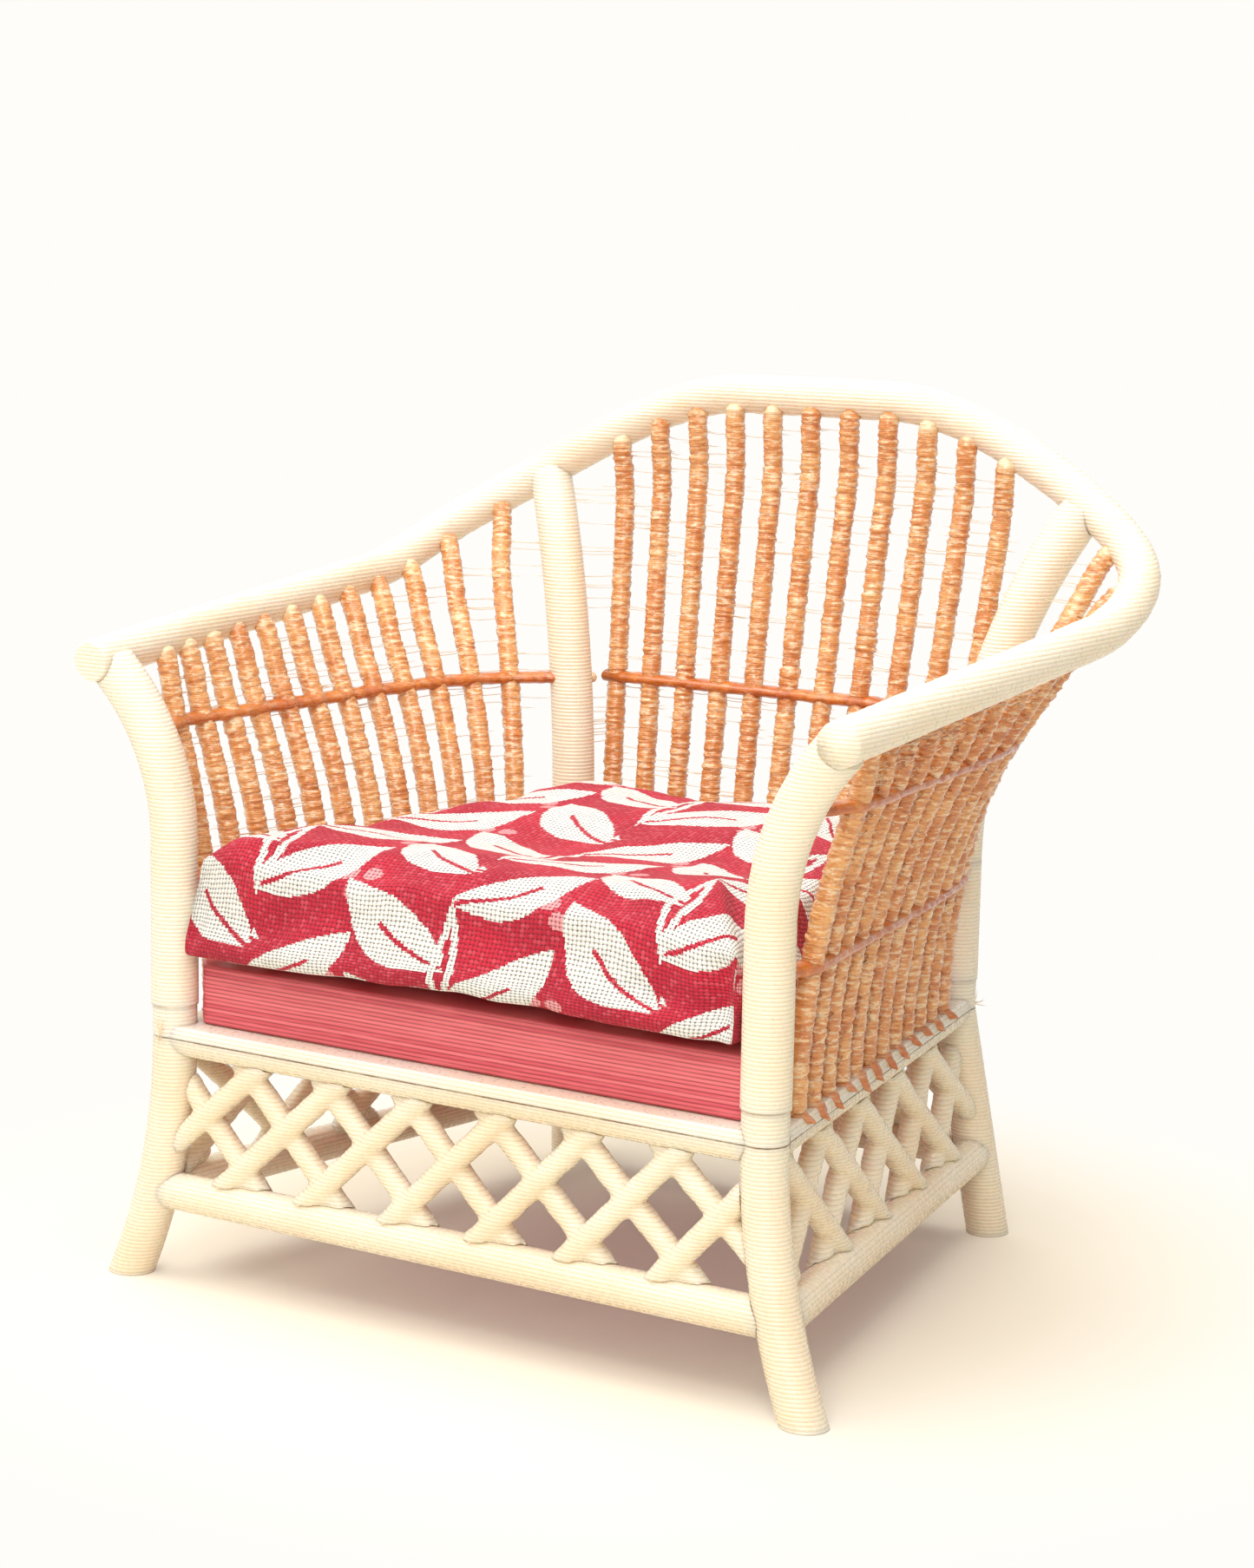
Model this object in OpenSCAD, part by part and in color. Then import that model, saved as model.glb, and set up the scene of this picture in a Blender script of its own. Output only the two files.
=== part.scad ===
// Dolls' house cane armchair at one twelfth of full size.
// Four bent legs and a latticed base carry a half-round seat frame.
// Curved spindles rise from the frame to one bent rail that makes both arms and the back.
// A board and a loose cushion lie on the frame and lift out.
// Millimetres, +Z up, front towards -Y, origin on the floor under the middle of the chair.

/* [Poles and rods] */
// Diameter of the legs and of the collars that stand on them
leg_d = 3.4; // [3.2:0.1:3.8]
// Diameter of the arm posts and back posts
post_d = 3.6; // [3.4:0.1:4]
// Diameter of the bent rail that makes the arms and the back
hoop_d = 3.2; // [2.8:0.1:3.4]
// Diameter of the half-round rails on both sides of the seam
rail_d = 3.2; // [2.8:0.1:3.3]
// Diameter of the lower rails between the legs
low_rail_d = 2.9; // [2.4:0.1:3.2]
// Diameter of a spindle
spindle_d = 1.6; // [1.4:0.1:1.8]
// Diameter of the rods that are threaded through the spindles
binding_d = 1; // [0.6:0.1:1]
// Diameter of a lattice bar
lattice_d = 1.8; // [1.2:0.1:2]

/* [Plan] */
// Front to back length over the bent rail
overall_depth = 56; // [52:0.5:60]
// Distance between the axes of the two arm posts
front_width = 52; // [48:0.5:54]
// Distance between the axes of the two back posts
back_width = 36.8; // [34:0.4:40]
// Distance from the arm posts back to the back posts
seat_depth = 43.8; // [41:0.2:45]
// How far the arm ends stand out in front of the arm posts
arm_overhang = 2.6; // [2:0.1:4]
// Sideways reach of a front foot from its post
front_splay = 4; // [2:0.2:6]
// Forward reach of a front foot from its post
front_rake = 0.6; // [0.2:0.2:2]
// Sideways reach of a back foot from its post
back_splay = 2; // [1:0.2:5]
// Backward reach of a back foot from its post
back_rake = 3.6; // [2:0.2:5]

/* [Heights] */
// Height of the seam between the base and the seat frame
seam_z = 19.4; // [17.6:0.2:21]
// Height of the lower rails' axes
low_rail_z = 7; // [5:0.2:8.6]
// Height of the flat on top of the seat frame above the seam
seat_flat = 0.9; // [0.7:0.1:1.2]
// Height of the collars between the legs and the posts
collar_h = 2.4; // [2:0.1:3]
// Height of the arm rail's axis at the front ends
arm_z = 47.8; // [45:0.2:50]
// How much the arm rail climbs before the back bend
arm_rise = 3.6; // [1:0.1:5]
// Height of the bent rail's axis in the middle of the back
crest_z = 67; // [63:0.2:71]
// Height at which an arm post starts to bend outwards
front_bend_z = 34.4; // [30:0.2:37]
// Height at which a back post starts to bend outwards
back_bend_z = 31.4; // [27:0.2:36]
// Height of the lower row of binding rods
binding_low_z = 31; // [28:0.2:34]
// Height of the upper row of binding rods
binding_high_z = 42.6; // [38:0.2:44]

/* [Bent rail] */
// Distance between the rail's axes at the arm ends
arm_front_width = 64; // [62:0.5:66]
// Distance between the rail's axes where the arms start to bend round
arm_back_width = 66.8; // [65:0.2:68]
// Depth of the bend from the end of the arms to the back
bend_depth = 16.7; // [14:0.1:20]
// Squareness of the bend in plan, where 2 is an ellipse
bend_square = 4; // [3:0.1:5]
// Share of the half rail at which the climb to the back begins
climb_start = 0.45; // [0.35:0.01:0.5]
// Share of the half rail at which the climb ends
climb_end = 0.92; // [0.85:0.01:1]
// Distance along the rail from its end to the arm post
arm_post_run = 1.9; // [1.8:0.1:3]
// Distance along the rail from its end to the back post
back_post_run = 56.6; // [55:0.2:58]

/* [Spindles] */
// Number of spindles on each side
side_spindles = 12; // [10:1:12]
// Distance from the arm post's axis to the first side spindle
side_first = 4.4; // [3.6:0.1:5]
// Distance between side spindles at the seat
side_pitch = 3.08; // [2.8:0.02:3.1]
// Distance along the bent rail to the first side spindle
side_top_first = 7.8; // [6:0.1:9]
// Distance along the bent rail from the first side spindle to the last
side_top_span = 43.8; // [40:0.1:44]
// Crowding of the side spindles' tops towards the front, where 0 is even
side_top_crowding = 0.33; // [0:0.01:0.4]
// Number of back spindles on each side of the middle one
back_half_spindles = 5; // [4:1:5]
// Distance between back spindles at the seat
back_pitch = 3.06; // [2.8:0.02:3.06]
// Distance between back spindles at the bent rail
back_top_pitch = 3.65; // [3.3:0.05:3.8]
// How far the spindles stand outwards of the seat rails' axes
spindle_setout = 0.6; // [0.5:0.1:0.7]
// Free end of a back binding rod beyond its last spindle
binding_overhang = 1; // [0.6:0.1:1.1]

/* [Lattice] */
// Number of crosses in the front panel
front_crosses = 7; // [5:1:7]
// Number of crosses in each side panel
side_crosses = 5; // [4:1:5]
// Number of crosses in the back panel
back_crosses = 5; // [4:1:5]
// Distance from the front leg's axis to the first side cross
side_cross_start = 3; // [2:0.1:4]
// Distance between the two layers of bars
lattice_step = 0.5; // [0.3:0.1:0.7]
// Distance from the seam down to the upper crossings
lattice_top_gap = 2.4; // [2:0.1:3]
// Distance from the lower rails' axes up to the lower crossings
lattice_low_gap = 2.7; // [2:0.1:3]

/* [Seat] */
// Thickness of the seat board
board_t = 4.6; // [4:0.1:5]
// Distance of the board's edges inwards of the seat rails' axes
board_inset = 0.5; // [0.5:0.1:0.9]
// Gap between the board's cut corners and the posts
board_post_gap = 0.3; // [0.2:0.1:0.6]
// Rounding of the board's cut corners in plan
board_corner_r = 0.9; // [0.8:0.1:1.2]
// Rounding of the board's long edges
board_edge_r = 0.6; // [0.3:0.1:0.7]
// Width between the cushion's sides at its front edge
cushion_front_w = 50; // [46:0.2:50]
// Width between the cushion's sides at its back edge
cushion_back_w = 33.4; // [30:0.2:33.4]
// How far the cushion stands out in front of the arm posts' axes
cushion_overhang = 2.2; // [0.5:0.1:2.4]
// Clear space between the cushion and the seat rail's axis at the back
cushion_back_gap = 0.8; // [0.8:0.1:2]
// Height of the cushion's edges
cushion_edge_h = 8.6; // [6:0.1:9]
// Height of the crown above the edges
cushion_crown = 1.4; // [1:0.1:2.5]
// How far the cushion's sides are drawn in between its corners
cushion_drawn = 0.7; // [0:0.1:1.2]
// Depth of the hollow worn into the middle of the cushion
cushion_hollow = 1.6; // [0.6:0.1:1.8]
// Distance of the hollow in front of the cushion's middle
hollow_forward = 2.1; // [0:0.1:5]
// Distance of the hollow to the right of the cushion's middle
hollow_aside = 2.8; // [0:0.1:5]
// Reach of the hollow forwards and backwards
hollow_length = 4.2; // [3:0.1:7]
// Reach of the hollow to the left and right
hollow_width = 13.4; // [8:0.1:16]

/* [Fits] */
// Gap round each glued joint
fit = 0.05; // [0.03:0.01:0.08]
// Height of the bent rail's axis above the lips of a post's saddle
saddle_h = 0.9; // [0.7:0.1:1.2]
// Gap between a post's saddle and the bent rail
saddle_gap = 0.1; // [0.06:0.01:0.16]
// Gap under the parts that lift out
lift_gap = 0.06; // [0.05:0.01:0.1]
// Gap at the seam between the base and the seat frame
seam_gap = 0.1; // [0.06:0.01:0.16]
// Step where a post's straight length meets its bend
post_shoulder = 0.01; // [0.01:0.01:0.05]
// Diameter of the spigot under each post
spigot_d = 1.6; // [1.2:0.1:1.8]
// Depth of the spigot in the leg
spigot_depth = 2.4; // [2:0.2:3]

/* [Hidden] */

left = -1;
right = 1;
front = -1;
back = 1;

base_colour = [0.93, 0.86, 0.72];
frame_colour = [0.95, 0.89, 0.77];
spindle_colour = [0.84, 0.53, 0.28];
binding_colour = [0.72, 0.38, 0.14];
board_colour = [0.78, 0.24, 0.3];
cushion_colour = [0.8, 0.16, 0.28];

round_fn = 48;
bend_fn = 96;
hoop_sides = 16;
binding_sides = 8;
far = 200;

front_y = -overall_depth / 2 + arm_overhang;
back_y = front_y + seat_depth;
hoop_back_y = overall_depth / 2 - hoop_d / 2;
bend_y = hoop_back_y - bend_depth;
base_top = seam_z - seam_gap / 2;
seat_bottom = seam_z + seam_gap / 2;
seat_top = seam_z + seat_flat;
post_bottom = seam_z + collar_h;
board_bottom = seat_top + lift_gap;
board_top = board_bottom + board_t;
cushion_bottom = board_top + lift_gap;

// Small geometry helpers
function mix(a, b, t) = a + (b - a) * t;
function unit(v) = v / norm(v);
function at_height(p, q, z) = mix(p, q, (z - p.z) / (q.z - p.z));
function plan(p) = [p.x, p.y];
function lift(p, z) = [p.x, p.y, z];
function hump(d, width) = exp(-d * d / (2 * width * width));

// A bend that starts upright and moves sideways by reach over a height of rise
function bend_radius(rise, reach) = (rise * rise + reach * reach) / (2 * reach);
function bend_reach(radius, rise) = radius - sqrt(radius * radius - rise * rise);

// Plan of the four corners and of the feet below them
// Front legs bend outwards from the upright, and back legs are straight and leaning
function corner(side, end) =
    end == front ? [side * front_width / 2, front_y] : [side * back_width / 2, back_y];
function splay(side, end) =
    end == front ? [side * front_splay, -front_rake] : [side * back_splay, back_rake];
function leg_radius(side, end) = bend_radius(seam_z, norm(splay(side, end)));
function leg_axis(side, end, z) =
    let (
        way = splay(side, end),
        drop = seam_z - z,
        reach = end == front ? bend_reach(leg_radius(side, end), drop) : norm(way) * drop / seam_z
    )
    lift(corner(side, end) + unit(way) * reach, z);

// Half of the bent rail in plan, from the end of the right arm to the middle of the back
arm_steps = 8;
bend_steps = 28;
function bend_point(turn) =
    let (
        wide = arm_back_width / 2,
        shape = pow(abs(cos(turn) / wide), bend_square) + pow(abs(sin(turn) / bend_depth), bend_square),
        r = pow(shape, -1 / bend_square)
    )
    [r * cos(turn), bend_y + r * sin(turn)];
rail_plan = concat(
    [for (i = [0 : arm_steps - 1])
        mix([arm_front_width / 2, -overall_depth / 2], [arm_back_width / 2, bend_y], i / arm_steps)],
    [for (i = [0 : bend_steps]) bend_point(90 * i / bend_steps)]
);
function runs(points, i = 0, total = 0) =
    i == len(points) - 1 ? [total] :
    concat([total], runs(points, i + 1, total + norm(points[i + 1] - points[i])));
rail_runs = runs(rail_plan);
half_run = rail_runs[len(rail_runs) - 1];
rail_x = [for (i = [0 : len(rail_plan) - 1]) [rail_runs[i], rail_plan[i].x]];
rail_y = [for (i = [0 : len(rail_plan) - 1]) [rail_runs[i], rail_plan[i].y]];

// Height and place of the bent rail's axis at a distance along it from the arm's end
function rail_z(run) =
    let (
        share = run / half_run,
        slope = arm_rise / climb_start,
        climb = climb_end - climb_start,
        t = min(max((share - climb_start) / climb, 0), 1)
    )
    share < climb_start ? arm_z + slope * share :
    mix(arm_z + arm_rise, crest_z, t * t * (3 - 2 * t)) + slope * climb * t * (1 - t) * (1 - t);
function rail_at(side, run) =
    let (
        along = half_run - abs(half_run - run),
        hand = run > half_run ? -side : side
    )
    [hand * lookup(along, rail_x), lookup(along, rail_y), rail_z(along)];

// Posts: upright to the bend, then curved outwards until they meet the bent rail
function post_bend_z(end) = end == front ? front_bend_z : back_bend_z;
function post_run(end) = end == front ? arm_post_run : back_post_run;
function post_top(side, end) = rail_at(side, post_run(end));
function post_reach(side, end) = plan(post_top(side, end)) - corner(side, end);
function post_rise(side, end) = post_top(side, end).z - post_bend_z(end);
function post_radius(side, end) = bend_radius(post_rise(side, end), norm(post_reach(side, end)));
function post_axis(side, end, z) =
    let (climb = max(z - post_bend_z(end), 0))
    lift(corner(side, end) + unit(post_reach(side, end)) * bend_reach(post_radius(side, end), climb), z);

// Side spindles: upright at the seat frame, then curved outwards along their whole length
side_way = unit(corner(right, back) - corner(right, front));
function side_out(side) = [side * side_way.y, -side_way.x];
function side_foot(side, i) =
    let (along = [side * side_way.x, side_way.y])
    corner(side, front) + along * (side_first + side_pitch * i) + side_out(side) * spindle_setout;
function side_top_run(i) =
    let (t = i / (side_spindles - 1))
    side_top_first + side_top_span * (t * (1 - side_top_crowding) + t * t * side_top_crowding);
function side_top(side, i) = rail_at(side, side_top_run(i));
function side_reach(side, i) = plan(side_top(side, i)) - side_foot(side, i);
function side_radius(side, i) = bend_radius(side_top(side, i).z - seat_top, norm(side_reach(side, i)));
function side_axis(side, i, z) =
    let (reach = bend_reach(side_radius(side, i), z - seat_top))
    lift(side_foot(side, i) + unit(side_reach(side, i)) * reach, z);

// Back spindles: straight and leaning, counted from the middle one
function back_foot(i) = [i * back_pitch, back_y + spindle_setout, seat_top];
function back_top(i) = rail_at(i < 0 ? left : right, half_run - abs(i) * back_top_pitch);
function back_axis(i, z) =
    mix(back_foot(i), back_top(i), (z - seat_top) / (back_top(i).z - seat_top));

// Routes of the binding rods from spindle to spindle
function trimmed(from, to, gap) = from + unit(to - from) * gap;
function side_stops(side, z) = concat(
    [post_axis(side, front, z)],
    [for (i = [0 : side_spindles - 1]) side_axis(side, i, z)],
    [post_axis(side, back, z)]
);
function back_stops(z) =
    let (
        n = back_half_spindles,
        stops = [for (i = [-n : n]) back_axis(i, z)]
    )
    concat(
        [trimmed(stops[0], stops[1], -binding_overhang)],
        stops,
        [trimmed(stops[2 * n], stops[2 * n - 1], -binding_overhang)]
    );
function between_posts(stops) =
    let (
        last = len(stops) - 1,
        gap = post_d / 2 + fit * 2
    )
    [for (i = [0 : last])
        i == 0 ? trimmed(stops[0], stops[1], gap) :
        i == last ? trimmed(stops[last], stops[last - 1], gap) : stops[i]];

// Straight rod between two points, turned about its axis
module rod(from, to, d, turn = 0) {
    v = to - from;
    translate(from)
        rotate([0, acos(v.z / norm(v)), atan2(v.y, v.x)])
            rotate([0, 0, turn])
                cylinder(d = d, h = norm(v), $fn = round_fn);
}

// Rod that starts upright at a point and bends towards a plan direction, upwards or downwards
module bent_rod(from, way, radius, sweep, d, upwards = true) {
    translate(from)
        rotate([0, 0, atan2(way.y, way.x)])
            translate([radius, 0, 0])
                rotate([90, 0, 0])
                    rotate([0, 0, upwards ? 180 - sweep : 180])
                        rotate_extrude(angle = sweep, $fn = bend_fn)
                            translate([radius, 0])
                                circle(d = d, $fn = round_fn);
}

// Closed skin over rings of equal point counts, listed from one end to the other
module skin(rings) {
    n = len(rings[0]);
    m = len(rings);
    points = [for (ring = rings) each ring];
    walls = [for (j = [0 : m - 2]) for (i = [0 : n - 1])
        let (
            a = j * n + i,
            b = j * n + (i + 1) % n
        )
        each [[a, a + n, b], [b, a + n, b + n]]];
    first_cap = [for (i = [0 : n - 1]) i];
    last_cap = [for (i = [n - 1 : -1 : 0]) (m - 1) * n + i];
    polyhedron(points = points, faces = concat([first_cap], walls, [last_cap]));
}

// Round tube along a route that nowhere runs straight up
module tube(route, d, sides) {
    last = len(route) - 1;
    skin([for (i = [0 : last])
        let (
            way = unit(route[min(i + 1, last)] - route[max(i - 1, 0)]),
            flat = unit(cross(way, [0, 0, 1])),
            up = cross(flat, way)
        )
        [for (k = [0 : sides - 1])
            route[i] + d / 2 * (cos(360 * k / sides) * flat + sin(360 * k / sides) * up)]]);
}

// Everything between two heights
module slab(low, high) {
    translate([-far / 2, -far / 2, low])
        cube([far, far, high - low]);
}

// Wedge from the middle of the chair through two corners, so that neighbours meet in a mitre
module bay(a, b) {
    hub = [0, (front_y + back_y) / 2];
    out = hub + unit((plan(a) + plan(b)) / 2 - hub) * fit;
    linear_extrude(far)
        polygon([out, out + unit(plan(a) - hub) * far, out + unit(plan(b) - hub) * far]);
}

// Straight length along the bent rail, used to cut the seats of posts and spindles
module rail_seat(side, run, reach, gap) {
    middle = rail_at(side, run);
    way = unit(rail_at(side, run + reach / 2) - rail_at(side, run - reach / 2));
    rod(middle - way * reach, middle + way * reach, hoop_d + 2 * gap);
}

module leg_bar(side, end, d, below) {
    radius = leg_radius(side, end);
    if (end == front)
        bent_rod(lift(corner(side, end), base_top), splay(side, end), radius,
            asin((seam_z + below) / radius), d, upwards = false);
    else
        rod(leg_axis(side, end, -below), leg_axis(side, end, seam_z + leg_d), d, turn = 90);
}

// The left-hand piece itself, or its mirror image on the right
module handed(side) {
    if (side == left)
        children();
    else
        mirror([1, 0, 0])
            children();
}

module leg(side, end) {
    color(base_colour)
        handed(side)
            difference() {
                leg_bar(left, end, leg_d, leg_d);
                slab(-far, 0);
                if (end == back)
                    slab(base_top, far);
                translate(lift(corner(left, end), base_top - spigot_depth - fit))
                    cylinder(d = spigot_d + 2 * fit, h = far, $fn = round_fn);
            }
}

// Half-round rail between two corners at the seam, above or below it
module half_rail(a, b, low, high) {
    intersection() {
        rod(lift(a, seam_z), lift(b, seam_z), rail_d);
        bay(a, b);
        slab(low, high);
    }
}

module base_top_rail(a_side, a_end, b_side, b_end) {
    color(base_colour)
        difference() {
            half_rail(corner(a_side, a_end), corner(b_side, b_end), seam_z - rail_d, base_top);
            leg_bar(a_side, a_end, leg_d + 2 * fit, 0);
            leg_bar(b_side, b_end, leg_d + 2 * fit, 0);
        }
}

module base_low_rail(a_side, a_end, b_side, b_end) {
    a = leg_axis(a_side, a_end, low_rail_z);
    b = leg_axis(b_side, b_end, low_rail_z);
    color(base_colour)
        difference() {
            intersection() {
                rod(a, b, low_rail_d);
                bay(a, b);
            }
            leg_bar(a_side, a_end, leg_d + 2 * fit, 0);
            leg_bar(b_side, b_end, leg_d + 2 * fit, 0);
        }
}

// Panel of crossed bars in two layers, whose ends cross once more just inside the rails
module lattice(a_side, a_end, b_side, b_end, crosses, start) {
    a_top = lift(corner(a_side, a_end), seam_z);
    b_top = lift(corner(b_side, b_end), seam_z);
    a_low = leg_axis(a_side, a_end, low_rail_z);
    b_low = leg_axis(b_side, b_end, low_rail_z);
    out = unit(cross(b_top - a_top, a_low - a_top)) * lattice_step / 2;
    function crossing(z, i) =
        let (
            a = leg_axis(a_side, a_end, z),
            b = leg_axis(b_side, b_end, z),
            first = start / norm(b - a)
        )
        mix(a, b, first + (1 - first) * i / crosses);
    module bar(low_i, top_i, shift) {
        low = crossing(low_rail_z + lattice_low_gap, low_i);
        top = crossing(seam_z - lattice_top_gap, top_i);
        rod(at_height(low, top, low_rail_z) + shift, at_height(low, top, seam_z) + shift, lattice_d);
    }
    color(base_colour)
        difference() {
            intersection() {
                union()
                    for (i = [0 : crosses - 1]) {
                        bar(i, i + 1, -out);
                        bar(i + 1, i, out);
                    }
                bay(a_top, b_top);
                bay(a_low, b_low);
            }
            rod(trimmed(a_top, b_top, -leg_d), trimmed(b_top, a_top, -leg_d), rail_d + 2 * fit);
            rod(trimmed(a_low, b_low, -leg_d), trimmed(b_low, a_low, -leg_d), low_rail_d + 2 * fit);
            leg_bar(a_side, a_end, leg_d + 2 * fit, 0);
            leg_bar(b_side, b_end, leg_d + 2 * fit, 0);
        }
}

module lattice_side(side) {
    handed(side)
        lattice(left, front, left, back, side_crosses, side_cross_start);
}

module collar(side, end) {
    color(frame_colour)
        translate(lift(corner(side, end), seat_bottom))
            difference() {
                cylinder(d = leg_d, h = post_bottom - seat_bottom, $fn = round_fn);
                translate([0, 0, -far / 2])
                    cylinder(d = spigot_d + 2 * fit, h = far, $fn = round_fn);
            }
}

module seat_rail(a_side, a_end, b_side, b_end) {
    a = corner(a_side, a_end);
    b = corner(b_side, b_end);
    color(frame_colour)
        difference() {
            half_rail(a, b, seat_bottom, seat_top);
            for (p = [a, b])
                translate(lift(p, 0))
                    cylinder(d = leg_d + 2 * fit, h = far, $fn = round_fn);
        }
}

// Post with a spigot below and a saddle for the bent rail on top
module post(side, end) {
    foot = corner(left, end);
    bend_z = post_bend_z(end);
    radius = post_radius(left, end);
    sweep = asin(post_rise(left, end) / radius) - saddle_h / radius * 180 / PI;
    color(frame_colour)
        handed(side) {
            difference() {
                bent_rod(lift(foot, bend_z), post_reach(left, end), radius, sweep, post_d - 2 * post_shoulder);
                rail_seat(left, post_run(end), post_d, saddle_gap);
            }
            translate(lift(foot, post_bottom))
                cylinder(d = post_d, h = bend_z - post_bottom, $fn = round_fn);
            translate(lift(foot, base_top - spigot_depth))
                cylinder(d = spigot_d, h = bend_z + spigot_d + spigot_depth - base_top, $fn = round_fn);
        }
}

module arm_and_back_rail() {
    last = len(rail_runs) - 1;
    color(frame_colour)
        tube(concat(
            [for (i = [0 : last]) rail_at(left, rail_runs[i])],
            [for (i = [last - 1 : -1 : 0]) rail_at(right, rail_runs[i])]
        ), hoop_d, hoop_sides);
}

// Holes for the binding rods, each along the way from one neighbour to the other
module binding_hole(stops, i) {
    way = unit(stops[i + 1] - stops[i - 1]) * spindle_d;
    rod(stops[i] - way, stops[i] + way, binding_d + 2 * fit);
}

module side_spindle(i) {
    foot = lift(side_foot(left, i), seat_top);
    radius = side_radius(left, i);
    sweep = asin((side_top(left, i).z - seat_top) / radius);
    difference() {
        bent_rod(foot, side_reach(left, i), radius, sweep, spindle_d);
        rail_seat(left, side_top_run(i), spindle_d, fit);
        for (z = [binding_low_z, binding_high_z])
            binding_hole(side_stops(left, z), i + 1);
    }
}

// The foot is cut square, and its low edge stands on the seat frame
module back_spindle(i) {
    foot = back_foot(i);
    top = back_top(i);
    side = i < 0 ? left : right;
    lean = norm(plan(top) - plan(foot)) / (top.z - foot.z);
    difference() {
        rod(trimmed(foot, top, spindle_d / 2 * lean), top, spindle_d);
        rail_seat(side, half_run - abs(i) * back_top_pitch, hoop_d, fit);
        for (z = [binding_low_z, binding_high_z])
            binding_hole(back_stops(z), i + back_half_spindles + 1);
    }
}

module spindles_side(side) {
    color(spindle_colour)
        handed(side)
            for (i = [0 : side_spindles - 1])
                side_spindle(i);
}

module spindles_back() {
    color(spindle_colour)
        for (i = [-back_half_spindles : back_half_spindles])
            back_spindle(i);
}

module binding_rod_side(side, z) {
    color(binding_colour)
        handed(side)
            tube(between_posts(side_stops(left, z)), binding_d, binding_sides);
}

module binding_rod_back(z) {
    color(binding_colour)
        tube(back_stops(z), binding_d, binding_sides);
}

// Outline of the seat board in plan, with its corners cut back to clear the posts
function board_outline(inset) =
    let (
        posts = [corner(right, front), corner(right, back), corner(left, back), corner(left, front)],
        edge = board_inset + inset,
        clear = post_d / 2 + board_post_gap + inset
    )
    [for (i = [0 : 3])
        let (
            p = posts[i],
            u = unit(posts[(i + 3) % 4] - p),
            v = unit(posts[(i + 1) % 4] - p),
            half = acos(u * v) / 2,
            along = (clear - edge * sin(half)) / cos(half)
        )
        each [
            p + u * along + unit(v - u * (u * v)) * edge,
            p + v * along + unit(u - v * (u * v)) * edge
        ]];

// Outline with each corner rounded by an arc
function rounded(points, r, steps) = [
    for (i = [0 : len(points) - 1])
        let (
            n = len(points),
            p = points[i],
            u = unit(points[(i + n - 1) % n] - p),
            v = unit(points[(i + 1) % n] - p),
            half = acos(u * v) / 2,
            hub = p + unit(u + v) * r / sin(half),
            a = p + u * r / tan(half) - hub,
            b = p + v * r / tan(half) - hub,
            turn = 180 - 2 * half
        )
        for (k = [0 : steps])
            hub + (a * sin(turn * (1 - k / steps)) + b * sin(turn * k / steps)) / sin(turn)
];

module seat_board() {
    arc_steps = 4;
    edge_steps = 3;
    function ring(inset, z) =
        [for (p = rounded(board_outline(inset), board_corner_r - inset, arc_steps)) lift(p, z)];
    turns = [for (k = [0 : edge_steps]) 90 * k / edge_steps];
    color(board_colour)
        skin(concat(
            [for (t = turns) ring(board_edge_r * (1 - sin(t)), board_bottom + board_edge_r * (1 - cos(t)))],
            [for (t = turns) ring(board_edge_r * (1 - cos(t)), board_top - board_edge_r * (1 - sin(t)))]
        ));
}

// Cushion: a rounded trapezium whose sides draw in, with a soft crown and a worn hollow
cushion_front_y = front_y - cushion_overhang;
cushion_back_y = back_y - cushion_back_gap;
cushion_square = 12;
function cushion_plan(turn, share) =
    let (
        shape = pow(abs(cos(turn)), cushion_square) + pow(abs(sin(turn)), cushion_square),
        r = pow(shape, -1 / cushion_square),
        x = r * cos(turn),
        y = r * sin(turn),
        half_w = mix(cushion_front_w, cushion_back_w, (y + 1) / 2) / 2 - cushion_drawn * (1 - y * y),
        half_d = (cushion_back_y - cushion_front_y) / 2 - cushion_drawn * (1 - x * x)
    )
    [x * half_w * share, (cushion_front_y + cushion_back_y) / 2 + y * half_d * share];
function cushion_dip(p) =
    let (middle = (cushion_front_y + cushion_back_y) / 2)
    cushion_hollow * hump(p.y - middle + hollow_forward, hollow_length) *
        hump(p.x - hollow_aside, hollow_width);

module seat_cushion() {
    points = 48;
    top_rings = 8;
    roll = 0.2;
    edge_z = cushion_bottom + cushion_edge_h;
    function ring(share) = [for (i = [0 : points - 1]) cushion_plan(360 * i / points, share)];
    function side_ring(turn) =
        [for (p = ring(1 - roll * (1 - cos(turn))))
            lift(p, cushion_bottom + cushion_edge_h * (1 + sin(turn)) / 2)];
    function top_ring(share) =
        [for (p = ring(share)) lift(p, edge_z + (cushion_crown - cushion_dip(p)) * (1 - share * share))];
    color(cushion_colour)
        skin(concat(
            [for (turn = [-90 : 30 : 60]) side_ring(turn)],
            [for (k = [1 : top_rings]) top_ring((1 - roll / 2) * (1 - (k - 0.5) / top_rings))]
        ));
}

leg(left, front);  // leg_front_left
leg(right, front);  // leg_front_right
leg(left, back);  // leg_back_left
leg(right, back);  // leg_back_right
base_top_rail(left, front, right, front);  // base_top_rail_front
base_top_rail(right, back, left, back);  // base_top_rail_back
base_top_rail(left, back, left, front);  // base_top_rail_left
handed(right) base_top_rail(left, back, left, front);  // base_top_rail_right
base_low_rail(left, front, right, front);  // base_low_rail_front
base_low_rail(right, back, left, back);  // base_low_rail_back
base_low_rail(left, back, left, front);  // base_low_rail_left
handed(right) base_low_rail(left, back, left, front);  // base_low_rail_right
lattice(left, front, right, front, front_crosses, 0);  // lattice_front
lattice(right, back, left, back, back_crosses, 0);  // lattice_back
lattice_side(left);  // lattice_left
lattice_side(right);  // lattice_right
collar(left, front);  // collar_front_left
collar(right, front);  // collar_front_right
collar(left, back);  // collar_back_left
collar(right, back);  // collar_back_right
seat_rail(left, front, right, front);  // seat_rail_front
seat_rail(right, back, left, back);  // seat_rail_back
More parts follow.
